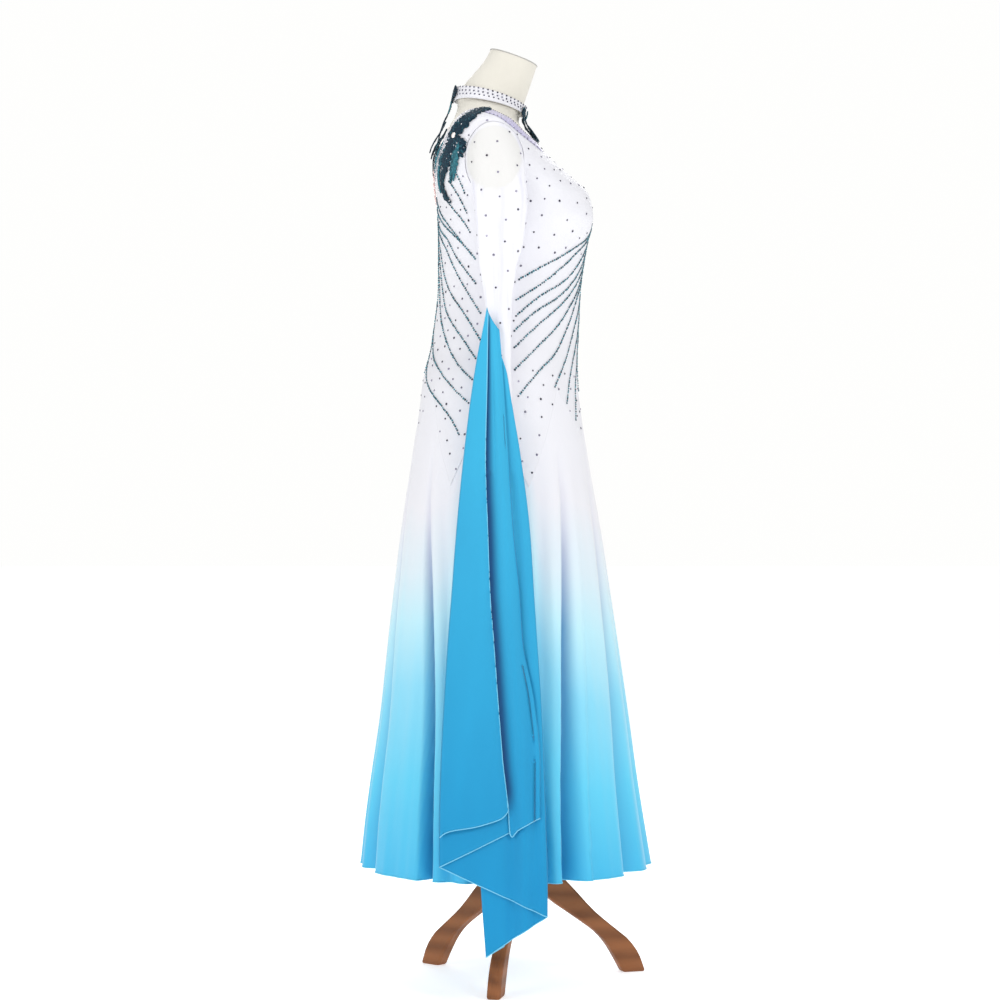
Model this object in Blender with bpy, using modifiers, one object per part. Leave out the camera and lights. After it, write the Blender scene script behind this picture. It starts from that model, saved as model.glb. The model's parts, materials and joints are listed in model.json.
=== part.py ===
"""Ballroom dance dress on a limbless dress form with a wooden tripod stand.

The wearer faces -Y and the wearer's right side is -X. The origin is on the floor, under the middle
of the hem. Every panel is a wall of cloth on one body surface, which is a stack of rounded rings.
An angle round a ring is in degrees: 0 at the centre front, 90 at the right side, 180 at the back.
"""

import math
from bisect import bisect_right
from collections import namedtuple

import bmesh
import bpy
from mathutils import Matrix, Vector

COLLECTION = "ballroom_dance_dress"

WALL = 0.0012
SEAM_GAP = 0.0003
BODY_CLEARANCE = 0.0005
HEM_HEIGHT = 0.200
WAIST_HEIGHT = 1.094
ARMPIT_HEIGHT = 1.348

Section = namedtuple("Section", "z front back half square tilt")
DRESS = (
    Section(0.200, -0.2550, 0.2550, 0.290, 2.00, 0),
    Section(0.345, -0.2310, 0.2336, 0.268, 2.00, 0),
    Section(0.465, -0.2140, 0.2145, 0.250, 2.02, 0),
    Section(0.617, -0.1915, 0.1976, 0.228, 2.05, 0),
    Section(0.788, -0.1650, 0.1800, 0.205, 2.10, 0),
    Section(0.906, -0.1435, 0.1646, 0.190, 2.15, 0),
    Section(0.984, -0.1310, 0.1520, 0.180, 2.20, 0),
    Section(1.045, -0.1240, 0.1440, 0.168, 2.22, 0),
    Section(1.094, -0.1225, 0.1300, 0.150, 2.25, 0),
    Section(1.143, -0.1250, 0.1230, 0.138, 2.28, 0),
    Section(1.204, -0.1290, 0.1170, 0.132, 2.30, 0),
    Section(1.241, -0.1337, 0.1167, 0.135, 2.32, 0),
    Section(1.284, -0.1410, 0.1165, 0.143, 2.35, 0),
    Section(1.325, -0.1496, 0.1175, 0.153, 2.40, 0),
    Section(1.362, -0.1450, 0.1195, 0.159, 2.40, 0),
    Section(1.399, -0.1090, 0.1220, 0.165, 2.40, 0),
    Section(1.421, -0.0845, 0.1220, 0.167, 2.40, 0),
    Section(1.448, -0.0600, 0.1170, 0.168, 2.40, 0),
    Section(1.470, -0.0450, 0.1100, 0.166, 2.40, 0),
    Section(1.482, -0.0370, 0.1050, 0.160, 2.35, 1),
    Section(1.490, -0.0320, 0.1010, 0.145, 2.30, 3),
    Section(1.500, -0.0280, 0.0950, 0.118, 2.20, 5),
    Section(1.508, -0.0260, 0.0910, 0.096, 2.10, 8),
    Section(1.518, -0.0270, 0.0870, 0.074, 2.00, 11),
    Section(1.530, -0.0280, 0.0840, 0.060, 2.00, 14),
    Section(1.545, -0.0320, 0.0780, 0.055, 2.00, 16),
    Section(1.565, -0.0390, 0.0640, 0.0505, 2.00, 17),
    Section(1.588, -0.0470, 0.0450, 0.047, 2.00, 18),
    Section(1.608, -0.0540, 0.0310, 0.045, 2.00, 19),
)

FORM_HIP = (
    Section(0.790, -0.098, 0.112, 0.152, 2.3, 0),
    Section(0.850, -0.105, 0.118, 0.160, 2.3, 0),
    Section(0.950, -0.112, 0.125, 0.165, 2.3, 0),
    Section(1.000, -0.115, 0.130, 0.160, 2.3, 0),
    Section(1.050, -0.118, 0.131, 0.154, 2.3, 0),
)

BUST = {"angle": 28.0, "z": 1.325, "wide": 15.0, "tall": 0.038, "rise": 0.007}

SeamPoint = namedtuple("SeamPoint", "angle z")
WAIST_SEAM = (
    SeamPoint(0, 1.018), SeamPoint(11, 0.977), SeamPoint(22, 0.943), SeamPoint(34.5, 0.980),
    SeamPoint(47, 1.024), SeamPoint(60, 0.935), SeamPoint(73, 0.857), SeamPoint(85, 0.935),
    SeamPoint(97, 1.020), SeamPoint(109, 0.936), SeamPoint(121, 0.861), SeamPoint(133, 0.942),
    SeamPoint(145, 1.035), SeamPoint(154, 0.990), SeamPoint(163, 0.945), SeamPoint(171.5, 0.994),
    SeamPoint(180, 1.045),
)
SIDE_ANGLE = 97
GORE_EDGES = (22, 73, 121, 163)

BODICE_LEVELS = (1.094, 1.130, 1.165, 1.204, 1.241, 1.284, 1.325, 1.348)
HIP_SHARES = (0.0, 0.12, 0.35, 0.65)
UPPER_ROWS = 10
STRAP_GAP = 0.0006

Armhole = namedtuple("Armhole", "y z half_y half_z")
ARMHOLE = Armhole(0.020, 1.412, 0.050, 0.064)
SHOULDER_SEAM_Y = 0.00035
SIDE_SEAM_GAP = 0.0005

EdgePoint = namedtuple("EdgePoint", "angle z")
FRONT_NECK = (
    EdgePoint(0, 1.348), EdgePoint(0, 1.372), EdgePoint(0, 1.398), EdgePoint(0, 1.422),
    EdgePoint(0, 1.446), EdgePoint(23, 1.448), EdgePoint(41, 1.458), EdgePoint(50, 1.472),
    EdgePoint(57, 1.486), EdgePoint(71, 1.497), EdgePoint(90, 1.507),
)
BACK_NECK = (
    EdgePoint(180, 1.348), EdgePoint(180, 1.376), EdgePoint(180, 1.405), EdgePoint(168, 1.412),
    EdgePoint(158, 1.436), EdgePoint(148, 1.459), EdgePoint(141, 1.471), EdgePoint(134, 1.486),
    EdgePoint(124, 1.498), EdgePoint(108, 1.505), EdgePoint(90, 1.507),
)

Flute = namedtuple("Flute", "angle depth")
FLUTES = (
    Flute(0, 0), Flute(9, 0.012), Flute(19, 0), Flute(30, 0.026), Flute(41, 0), Flute(55, 0.005),
    Flute(65.5, 0.044), Flute(70, 0), Flute(76, 0.020), Flute(82, 0), Flute(88, 0.022), Flute(94, 0),
    Flute(100, 0.022), Flute(106, 0), Flute(112, 0.014), Flute(117, 0), Flute(122.5, 0.044),
    Flute(127, 0), Flute(140, 0.004), Flute(151, 0), Flute(160, 0.032), Flute(168, 0.002),
    Flute(174, 0.012), Flute(180, 0),
)
FLUTE_TOP = 0.880
FLUTE_GROWTH = 1.15
SKIRT_SHARES = (0.0, 0.07, 0.16, 0.27, 0.39, 0.52, 0.66, 0.82, 1.0)
SKIRT_SEAM_DROP = 0.0010
GORE_EDGE_ANGLE = 1.2
GORE_GAP_TOP = 0.0005
GORE_GAP_HEM = 0.0011

SleeveRing = namedtuple("SleeveRing", "z x half_x y half_y")
SLEEVE = (
    SleeveRing(1.330, 0.1840, 0.0220, 0.0088, 0.0445),
    SleeveRing(1.272, 0.1850, 0.0190, 0.0096, 0.0395),
    SleeveRing(1.225, 0.1857, 0.0170, 0.0138, 0.0320),
    SleeveRing(1.171, 0.1870, 0.0150, 0.0130, 0.0244),
    SleeveRing(1.121, 0.1890, 0.0135, 0.0121, 0.0219),
    SleeveRing(1.054, 0.1920, 0.0120, 0.0105, 0.0202),
    SleeveRing(0.980, 0.1990, 0.0105, 0.0090, 0.0200),
    SleeveRing(0.900, 0.2110, 0.0090, 0.0070, 0.0190),
)
SLEEVE_COLUMNS = 2 * UPPER_ROWS
SLEEVE_CAP_SHARES = (0.0, 0.10, 0.25, 0.45, 0.70)
SLEEVE_INSET = 0.0006

FoldHeight = namedtuple("FoldHeight", "z outer back_1 front_1 back_2 front_2 back_3 inner base")
FLOAT_FOLDS = (
    FoldHeight(1.157, 0.0305, 0.0322, 0.0150, 0.0330, 0.0130, 0.0200, 0.0120, 0.2020),
    FoldHeight(1.035, 0.0322, 0.0539, 0.0050, 0.0549, -0.0030, 0.0250, 0.0100, 0.2050),
    FoldHeight(0.902, 0.0348, 0.0705, -0.0035, 0.0715, -0.0245, 0.0280, 0.0080, 0.2203),
    FoldHeight(0.783, 0.0310, 0.0820, -0.0115, 0.0830, -0.0392, 0.0320, 0.0060, 0.2250),
    FoldHeight(0.677, 0.0271, 0.0900, -0.0223, 0.0910, -0.0460, 0.0360, 0.0050, 0.2290),
    FoldHeight(0.602, 0.0213, 0.0958, -0.0270, 0.0968, -0.0509, 0.0400, 0.0050, 0.2370),
    FoldHeight(0.502, 0.0140, 0.1020, -0.0458, 0.1030, -0.0574, 0.0440, 0.0040, 0.2510),
    FoldHeight(0.403, 0.0060, 0.1070, -0.0555, 0.1080, -0.0615, 0.0460, 0.0040, 0.2660),
    FoldHeight(0.312, -0.0030, 0.1092, -0.0553, 0.1102, -0.0645, 0.0460, 0.0040, 0.2800),
    FoldHeight(0.200, -0.0030, 0.1092, -0.0553, 0.1102, -0.0674, 0.0417, 0.0040, 0.2970),
    FoldHeight(0.080, -0.0030, 0.1092, -0.0553, 0.1102, -0.0673, 0.0330, 0.0040, 0.3000),
)
FloatEdge = namedtuple("FloatEdge", "line top hem")
FLOAT_EDGES = (
    FloatEdge("outer", 1.150, 0.330),
    FloatEdge("back_1", 1.157, 0.281),
    FloatEdge("front_1", 1.120, 0.312),
    FloatEdge("back_2", 1.100, 0.2325),
    FloatEdge("front_2", 1.075, 0.151),
    FloatEdge("back_3", 1.000, 0.0845),
    FloatEdge("inner", 0.950, 0.102),
)
FLOAT_LAYER_SHARES = (0.0, 0.07, 0.36, 0.64, 0.93)
FLOAT_ROW_SHARES = (0.0, 0.06, 0.14, 0.24, 0.34, 0.45, 0.56, 0.67, 0.78, 0.89, 1.0)
FLOAT_SEAT = 0.0005
LAYER_STEP_TOP = 0.0022
LAYER_STEP_HEM = 0.0045

COLLAR_LOW = 1.5195
COLLAR_HIGH = 1.5395
COLLAR_STAND = 0.0045
STRAP_WALL = 0.0015
FRONT_STRAP_HALF = 0.009
BACK_STRAP_HALF = 0.011
APPLIQUE_RISE = 0.0003
APPLIQUE_WALL = 0.0012
APPLIQUE_COLUMNS = 3

ARM_PLATE_X = 0.1585
FORM_DROP = 0.004
FormInset = namedtuple("FormInset", "z depth")
FORM_INSETS = (
    FormInset(1.094, 0.0042), FormInset(1.130, 0.0028), FormInset(1.165, 0.0017),
    FormInset(1.284, 0.0017), FormInset(1.321, 0.0040), FormInset(1.508, 0.0040),
    FormInset(1.518, 0.0),
)
FITTED_TOP = 1.284
DROP_END = 1.504
NECK_START = 1.514

STAND_Y = -0.0255
POLE_RADIUS = 0.015
HUB_RADIUS = 0.032
HUB_LOW = 0.150
HUB_HIGH = 0.235
LEG_THICK = 0.024
LEG_EDGE = 0.004
LEG_TURNS = (168.0, 288.0, 48.0)
LegStation = namedtuple("LegStation", "top_r top_z low_r low_z")
LEG = (
    LegStation(0.0323, 0.212, 0.0323, 0.156),
    LegStation(0.064, 0.184, 0.057, 0.131),
    LegStation(0.096, 0.152, 0.084, 0.112),
    LegStation(0.134, 0.1114, 0.112, 0.0925),
    LegStation(0.1685, 0.0825, 0.1376, 0.0734),
    LegStation(0.200, 0.0565, 0.1568, 0.0526),
    LegStation(0.219, 0.0295, 0.1730, 0.0270),
    LegStation(0.230, 0.000, 0.1880, 0.000),
)
LEG_STEPS = 17

WHITE = (0.87, 0.87, 0.91)
SKY_BLUE = (0.16, 0.54, 0.80)
FLOAT_BLUE = (0.07, 0.45, 0.78)
TEAL = (0.012, 0.07, 0.12)
CREAM = (0.83, 0.78, 0.68)
WALNUT = (0.22, 0.085, 0.035)


class Curve:
    """A smooth curve through (place, value) pairs that never overshoots them."""

    def __init__(self, places, values):
        order = sorted(zip(places, values))
        self.places = [p for p, _ in order]
        self.values = [v for _, v in order]
        steps = list(zip(self.places, self.places[1:]))
        rises = [
            (v1 - v0) / (p1 - p0)
            for (p0, p1), v0, v1 in zip(steps, self.values, self.values[1:])
        ]
        middle = [
            2 * a * b / (a + b) if a * b > 0 else 0.0 for a, b in zip(rises, rises[1:])
        ]
        self.slopes = [rises[0], *middle, rises[-1]]

    def at(self, place):
        place = min(max(place, self.places[0]), self.places[-1])
        i = min(bisect_right(self.places, place) - 1, len(self.places) - 2)
        width = self.places[i + 1] - self.places[i]
        s = (place - self.places[i]) / width
        start = (1 + 2 * s) * (1 - s) ** 2 * self.values[i]
        end = s * s * (3 - 2 * s) * self.values[i + 1]
        lean_in = s * (1 - s) ** 2 * width * self.slopes[i]
        lean_out = s * s * (s - 1) * width * self.slopes[i + 1]
        return start + end + lean_in + lean_out


def curves(rows, place="z"):
    """A smooth curve for each named column of a table."""
    names = [name for name in rows[0]._fields if name != place]
    places = [getattr(row, place) for row in rows]
    return {name: Curve(places, [getattr(row, name) for row in rows]) for name in names}


def lerp(a, b, s):
    return a + (b - a) * s


DRESS_CURVES = curves(DRESS)
FLOAT_CURVES = curves(FLOAT_FOLDS)
SLEEVE_CURVES = curves(SLEEVE)
LEG_CURVES = {
    name: Curve(range(len(LEG)), [getattr(station, name) for station in LEG]) for name in LEG[0]._fields
}


def ring_point(columns, angle, z):
    """The point of a rounded, tilted ring at an angle in degrees."""
    front, back, half, square, tilt = (
        columns[name].at(z) for name in ("front", "back", "half", "square", "tilt")
    )
    sine, cosine = math.sin(math.radians(angle)), math.cos(math.radians(angle))
    reach = (abs(sine) ** square + abs(cosine) ** square) ** (-1 / square)
    middle, depth = (front + back) / 2, (back - front) / 2
    y = middle - depth * reach * cosine
    return Vector((-half * reach * sine, y, z + math.tan(math.radians(tilt)) * (y - middle)))


def body_point(angle, z):
    """The dress's outer face without its flutes."""
    point = ring_point(DRESS_CURVES, angle, z)
    side = (abs(angle) - BUST["angle"]) / BUST["wide"]
    height = (z - BUST["z"]) / BUST["tall"]
    point.y -= BUST["rise"] * math.exp(-side * side - height * height)
    return point


def outward(surface, angle, z):
    """The direction that points out of a surface given by angle and height."""
    across = surface(angle + 0.4, z) - surface(angle - 0.4, z)
    up = surface(angle, z + 0.001) - surface(angle, z - 0.001)
    return up.cross(across).normalized()


def on_body(angle, z, out=0.0):
    return body_point(angle, z) + out * outward(body_point, angle, z)


def angle_at(y, z):
    """The angle, from the front round the right side, at which the body has this y."""
    low, high = 0.0, 180.0
    while high - low > 1e-4:
        middle = (low + high) / 2
        if body_point(middle, z).y < y:
            low = middle
        else:
            high = middle
    return (low + high) / 2


def armhole_angle(turn, side):
    """The armhole's edge at a turn from -90, its foot, to 90, its top; side -1 is the front half."""
    y = ARMHOLE.y + side * ARMHOLE.half_y * math.cos(math.radians(turn))
    z = ARMHOLE.z + ARMHOLE.half_z * math.sin(math.radians(turn))
    return angle_at(y, z), z


ARMHOLE_FOOT = armhole_angle(-90, 1)[0]
SIDE_SEAM = Curve((0.85, 1.02, 1.15, 1.30, ARMPIT_HEIGHT), (SIDE_ANGLE, SIDE_ANGLE, 93, 93, ARMHOLE_FOOT))


def new_object(name, bm, material, *modifiers):
    mesh = bpy.data.meshes.new(name)
    bm.to_mesh(mesh)
    bm.free()
    obj = bpy.data.objects.new(name, mesh)
    bpy.data.collections[COLLECTION].objects.link(obj)
    mesh.materials.append(material)
    for kind, settings in modifiers:
        modifier = obj.modifiers.new(kind.title(), kind)
        for key, value in settings.items():
            setattr(modifier, key, value)
    mesh.shade_smooth()
    mesh.set_sharp_from_angle(angle=math.radians(50))
    return obj


def material(name, colour, roughness, metallic=0.0, sheen=0.0):
    made = bpy.data.materials.new(name)
    made.use_nodes = True
    shader = made.node_tree.nodes["Principled BSDF"]
    shader.inputs["Base Color"].default_value = (*colour, 1)
    shader.inputs["Roughness"].default_value = roughness
    shader.inputs["Metallic"].default_value = metallic
    shader.inputs["Sheen Weight"].default_value = sheen
    made.diffuse_color = (*colour, 1)
    return made


def grid(columns, rows, place):
    """A sheet whose vertex in column i and row j is at place(i, j)."""
    bm = bmesh.new()
    bmesh.ops.create_grid(bm, x_segments=columns - 1, y_segments=rows - 1, size=1)
    for vertex in bm.verts:
        i = round((vertex.co.x + 1) / 2 * (columns - 1))
        j = round((vertex.co.y + 1) / 2 * (rows - 1))
        vertex.co = place(i, j)
    return bm


def wall(thickness=WALL, offset=-1):
    return "SOLIDIFY", {"thickness": thickness, "offset": offset}


def mirror():
    return "MIRROR", {"merge_threshold": 0.0001}


def neck_height(angle, path):
    """The height of a neck opening's edge near its lowest point."""
    corner = max(i for i, point in enumerate(path) if point.angle == path[0].angle)
    a, b = path[corner], path[corner + 1]
    return lerp(a.z, b.z, (angle - a.angle) / (b.angle - a.angle))


def seam_height(angle):
    i = min(bisect_right([p.angle for p in WAIST_SEAM], angle) - 1, len(WAIST_SEAM) - 2)
    a, b = WAIST_SEAM[i], WAIST_SEAM[i + 1]
    return lerp(a.z, b.z, (angle - a.angle) / (b.angle - a.angle))


def bodice_shares(side):
    """How far each column of the front or back is from its centre line to the side seam."""
    if side < 0:
        return [p.angle / SIDE_ANGLE for p in WAIST_SEAM if p.angle <= SIDE_ANGLE]
    return [(180 - p.angle) / (180 - SIDE_ANGLE) for p in reversed(WAIST_SEAM) if p.angle >= SIDE_ANGLE]


def side_angle(z, side):
    """The side seam, held half its gap back from each panel."""
    gap = math.degrees(SIDE_SEAM_GAP / 2 / DRESS_CURVES["half"].at(z))
    return SIDE_SEAM.at(z) + side * gap


def bodice_angle(share, z, side):
    edge = side_angle(z, side)
    return share * edge if side < 0 else lerp(180, edge, share)


def bodice_place(share, row, side):
    """Angle and height of a bodice point; side -1 is the front panel, and 1 the back."""
    hip_rows = len(HIP_SHARES)
    levels = len(BODICE_LEVELS)
    if row < hip_rows:
        centre = 0 if side < 0 else 180
        foot = seam_height(lerp(centre, SIDE_ANGLE, share))
        z = lerp(foot, WAIST_HEIGHT, HIP_SHARES[row])
        return bodice_angle(share, z, side), z
    if row < hip_rows + levels:
        z = BODICE_LEVELS[row - hip_rows]
        return bodice_angle(share, z, side), z
    climb = row - hip_rows - levels + 1
    neck = (FRONT_NECK if side < 0 else BACK_NECK)[climb]
    arm_angle, arm_z = armhole_angle(lerp(-90, 90, climb / UPPER_ROWS), side)
    return lerp(neck.angle, arm_angle, share), lerp(neck.z, arm_z, share)


BODICE_ROWS = len(HIP_SHARES) + len(BODICE_LEVELS) + UPPER_ROWS


def bodice_point(share, row, side, out=0.0):
    point = on_body(*bodice_place(share, row, side), out)
    if row == BODICE_ROWS - 1:
        point.y += side * SHOULDER_SEAM_Y
    return point


def make_bodice(name, side, cloth):
    shares = bodice_shares(side)

    bm = grid(len(shares), BODICE_ROWS, lambda i, j: bodice_point(shares[i], j, side))
    if side < 0:
        bmesh.ops.reverse_faces(bm, faces=bm.faces)
    return new_object(name, bm, cloth, mirror(), wall())


def flute_depth(angle, z):
    """How far the skirt sinks inside its ridges."""
    angle = abs(angle)
    i = min(bisect_right([f.angle for f in FLUTES], angle) - 1, len(FLUTES) - 2)
    a, b = FLUTES[i], FLUTES[i + 1]
    swing = (1 - math.cos(math.pi * (angle - a.angle) / (b.angle - a.angle))) / 2
    drop = max(0.0, (FLUTE_TOP - z) / (FLUTE_TOP - HEM_HEIGHT))
    return lerp(a.depth, b.depth, swing) * drop**FLUTE_GROWTH


def skirt_point(angle, z):
    point = body_point(angle, z)
    middle = Vector((0, (DRESS_CURVES["front"].at(z) + DRESS_CURVES["back"].at(z)) / 2, z))
    return point + (middle - point).normalized() * flute_depth(angle, z)


def seam_point(angle):
    """A point of the bodice's faceted lower edge."""
    i = min(bisect_right([p.angle for p in WAIST_SEAM], angle) - 1, len(WAIST_SEAM) - 2)
    a, b = WAIST_SEAM[i], WAIST_SEAM[i + 1]
    start, end = on_body(a.angle, a.z), on_body(b.angle, b.z)
    return start.lerp(end, (angle - a.angle) / (b.angle - a.angle))


def gore_angles(start, end):
    """A gore's columns: each ridge and valley, halfway between them, and the corners of the seam."""
    marks = {f.angle for f in FLUTES} | {p.angle for p in WAIST_SEAM}
    ordered = sorted(marks | {-mark for mark in marks} | {360 - mark for mark in marks})
    halves = [(a + b) / 2 for a, b in zip(ordered, ordered[1:]) if b - a > 4.5]
    inside = sorted(a for a in ordered + halves if start + 2.0 < a < end - 2.0)
    return [start, start + GORE_EDGE_ANGLE, *inside, end - GORE_EDGE_ANGLE, end]


def make_gore(name, start, end, flip, cloth):
    """A skirt gore between two angles; flip builds it on the wearer's left side."""
    angles = gore_angles(start, end)
    rows = len(SKIRT_SHARES)

    def place(i, j):
        angle = angles[i]
        near = min(angle, 360 - angle) if angle > 0 else -angle
        top = seam_point(near)
        top.z -= SKIRT_SEAM_DROP
        mirrored = angle < 0 or angle > 180
        share = SKIRT_SHARES[rows - 1 - j]
        z = lerp(seam_height(near) - SKIRT_SEAM_DROP, HEM_HEIGHT, share)
        point = top if share == 0 else skirt_point(near, z)
        if mirrored:
            point.x = -point.x
        if i in (0, len(angles) - 1):
            gap = lerp(GORE_GAP_TOP, GORE_GAP_HEM, share)
            trim = gap / 2 * (1 if i == 0 else -1)
            along_ring = (skirt_point(near + 0.5, z) - skirt_point(near - 0.5, z)).normalized()
            if mirrored:
                along_ring = Vector((along_ring.x, -along_ring.y, along_ring.z))
            point += along_ring * trim
        if flip:
            point.x = -point.x
        return point

    bm = grid(len(angles), rows, place)
    if not flip:
        bmesh.ops.reverse_faces(bm, faces=bm.faces)
    return new_object(name, bm, cloth, wall())


def sleeve_ring(turn, z):
    """A point of the hanging sleeve, as if on the right; turn 90 is the arm's outer side."""
    x, half_x, y, half_y = (SLEEVE_CURVES[name].at(z) for name in ("x", "half_x", "y", "half_y"))
    sine, cosine = math.sin(math.radians(turn)), math.cos(math.radians(turn))
    return Vector((-(x + half_x * sine), y - half_y * cosine, z))


def sleeve_cap(turn, share):
    """From the armhole's edge out and over to the top of the hanging sleeve."""
    cosine, sine = math.cos(math.radians(turn)), math.sin(math.radians(turn))
    side = -1 if cosine > 0 else 1
    climb = math.degrees(math.asin(max(-1.0, min(1.0, sine))))
    edge = on_body(*armhole_angle(climb, side))
    start = Vector((
        edge.x,
        ARMHOLE.y - (ARMHOLE.half_y - SLEEVE_INSET) * cosine,
        ARMHOLE.z + (ARMHOLE.half_z - SLEEVE_INSET) * sine,
    ))
    end = sleeve_ring(turn, SLEEVE[0].z)
    reach = (end - start).length
    leave, arrive = Vector((-0.55 * reach, 0, 0)), Vector((0, 0, -0.95 * reach))
    s = share
    return (
        (1 + 2 * s) * (1 - s) ** 2 * start + s * s * (3 - 2 * s) * end
        + s * (1 - s) ** 2 * leave + s * s * (s - 1) * arrive
    )


def sleeve_point(turn, row):
    if row < len(SLEEVE_CAP_SHARES):
        return sleeve_cap(turn, SLEEVE_CAP_SHARES[row])
    return sleeve_ring(turn, SLEEVE[row - len(SLEEVE_CAP_SHARES)].z)


def make_sleeve(name, side, cloth):
    """The right sleeve has side -1, and the left one is its mirror image."""
    rows = len(SLEEVE_CAP_SHARES) + len(SLEEVE)

    def place(i, j):
        turn = -90 + 360 * (i % SLEEVE_COLUMNS) / SLEEVE_COLUMNS
        point = sleeve_point(turn, rows - 1 - j)
        point.x *= -side
        return point

    bm = grid(SLEEVE_COLUMNS + 1, rows, place)
    bmesh.ops.remove_doubles(bm, verts=bm.verts, dist=0.00001)
    if side < 0:
        bmesh.ops.reverse_faces(bm, faces=bm.faces)
    return new_object(name, bm, cloth, wall())


def float_point(place, row_share):
    """A point of the folded float: place counts its layers from the outer edge, and x is outwards."""
    layer = min(int(place), len(FLOAT_EDGES) - 2)
    share = place - layer
    a, b = FLOAT_EDGES[layer], FLOAT_EDGES[layer + 1]
    z = lerp(lerp(a.top, b.top, share), lerp(a.hem, b.hem, share), row_share)
    y = lerp(FLOAT_CURVES[a.line].at(z), FLOAT_CURVES[b.line].at(z), share)
    layers = len(FLOAT_EDGES) - 1
    depth = layers - 1 - layer
    if share == 0 and 0 < place < layers:
        depth += 0.5
    fall = (FLOAT_FOLDS[0].z - z) / (FLOAT_FOLDS[0].z - FLOAT_FOLDS[-1].z)
    step = lerp(LAYER_STEP_TOP, LAYER_STEP_HEM, fall)
    base = FLOAT_CURVES["base"].at(z)
    if z > SLEEVE[-1].z:
        base = max(base, SLEEVE_CURVES["x"].at(z) + SLEEVE_CURVES["half_x"].at(z) + FLOAT_SEAT)
    return Vector((base + WALL / 2 + depth * step, y, z))


def make_float(name, side, cloth):
    layers = len(FLOAT_EDGES) - 1
    places = [layer + share for layer in range(layers) for share in FLOAT_LAYER_SHARES] + [layers]
    rows = len(FLOAT_ROW_SHARES)

    def place(i, j):
        point = float_point(places[i], FLOAT_ROW_SHARES[rows - 1 - j])
        point.x *= side
        return point

    bm = grid(len(places), rows, place)
    if side < 0:
        bmesh.ops.reverse_faces(bm, faces=bm.faces)
    return new_object(name, bm, cloth, wall(offset=0))


def make_collar(cloth):
    """A band that stands round the neck, close at its sides and free at its front and back."""
    columns = 32
    heights = (COLLAR_LOW, (COLLAR_LOW + COLLAR_HIGH) / 2, COLLAR_HIGH)

    def place(i, j):
        angle = 360 * (i % columns) / columns
        stand = BODY_CLEARANCE + WALL + COLLAR_STAND * math.cos(math.radians(angle)) ** 2
        return on_body(angle, heights[j], stand)

    bm = grid(columns + 1, len(heights), place)
    bmesh.ops.remove_doubles(bm, verts=bm.verts, dist=0.00001)
    bmesh.ops.reverse_faces(bm, faces=bm.faces)
    return new_object("collar_band", bm, cloth, wall())


def strap_angle(x, z, centre):
    """The angle at which the body is x metres to the right of its centre line."""
    sine = min(1.0, abs(x) / DRESS_CURVES["half"].at(z))
    angle = math.degrees(math.asin(sine))
    return centre + math.copysign(angle, x) * (1 if centre == 0 else -1)


def make_strap(name, path, half_width, cloth):
    """A strip from the collar's foot to the bodice's edge, in the plane of the bodice."""
    shares = (-1.0, -0.5, 0.0, 0.5, 1.0)
    rows = 7
    centre = path[0].angle

    def place(i, j):
        s = j / (rows - 1)
        width = shares[i] * half_width * (1 - 0.35 * math.sin(math.pi * s))
        foot_angle = strap_angle(abs(width), neck_height(centre, path), centre)
        low = neck_height(foot_angle, path) + STRAP_GAP
        z = lerp(low, COLLAR_LOW - STRAP_GAP, s)
        out = lerp(0.0, BODY_CLEARANCE + WALL + COLLAR_STAND, s * s)
        return on_body(strap_angle(width, z, centre), z, out)

    bm = grid(len(shares), rows, place)
    if centre == 0:
        bmesh.ops.reverse_faces(bm, faces=bm.faces)
    return new_object(name, bm, cloth, wall(STRAP_WALL))


def make_back_applique(name, flip, cloth):
    """A leafy band raised on the back panel, along the edge of the back opening."""
    shares = bodice_shares(1)[: APPLIQUE_COLUMNS + 1]
    first = len(HIP_SHARES) + len(BODICE_LEVELS) + 1
    rows = BODICE_ROWS - first

    def place(i, j):
        point = bodice_point(shares[i], first + j, 1, APPLIQUE_RISE + APPLIQUE_WALL)
        if i == 0 and point.x > -0.0004:
            point.x = -0.0004
        if flip:
            point.x = -point.x
        return point

    bm = grid(len(shares), rows, place)
    if flip:
        bmesh.ops.reverse_faces(bm, faces=bm.faces)
    return new_object(name, bm, cloth, wall(APPLIQUE_WALL))


def form_heights():
    """The form's rings from its foot to the cap of its neck."""
    hip = [s.z for s in FORM_HIP]
    fitted = [z for z in BODICE_LEVELS if z <= FITTED_TOP]
    upper = [s.z - FORM_DROP for s in DRESS if s.z > FITTED_TOP]
    return hip + fitted + upper


def form_ring(angle, z):
    """The form under the dress: close at the ribs, free at the hips, inset at chest and shoulders."""
    if z < WAIST_HEIGHT - 0.001:
        return ring_point(FORM_CURVES, angle, z)
    level = z + FORM_DROP if z > FITTED_TOP else z
    point = on_body(angle, level, -FORM_INSET_CURVES["depth"].at(z))
    point.z -= FORM_DROPS.at(z)
    point.x = max(-ARM_PLATE_X, min(ARM_PLATE_X, point.x))
    return point


FORM_CURVES = curves(FORM_HIP + tuple(s for s in DRESS if WAIST_HEIGHT <= s.z < 1.15))
FORM_INSET_CURVES = curves(FORM_INSETS)
FORM_DROPS = Curve((FITTED_TOP, FITTED_TOP + 0.001, DROP_END, NECK_START), (0, FORM_DROP, FORM_DROP, 0))


def form_angles(z):
    """Columns under the bodice's own, so that the two walls run side by side."""
    right = [bodice_angle(share, z, -1) for share in bodice_shares(-1)]
    back = [bodice_angle(share, z, 1) for share in reversed(bodice_shares(1))][1:]
    half = right + back
    return half + [360 - a for a in reversed(half[1:-1])] + [360]


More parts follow.
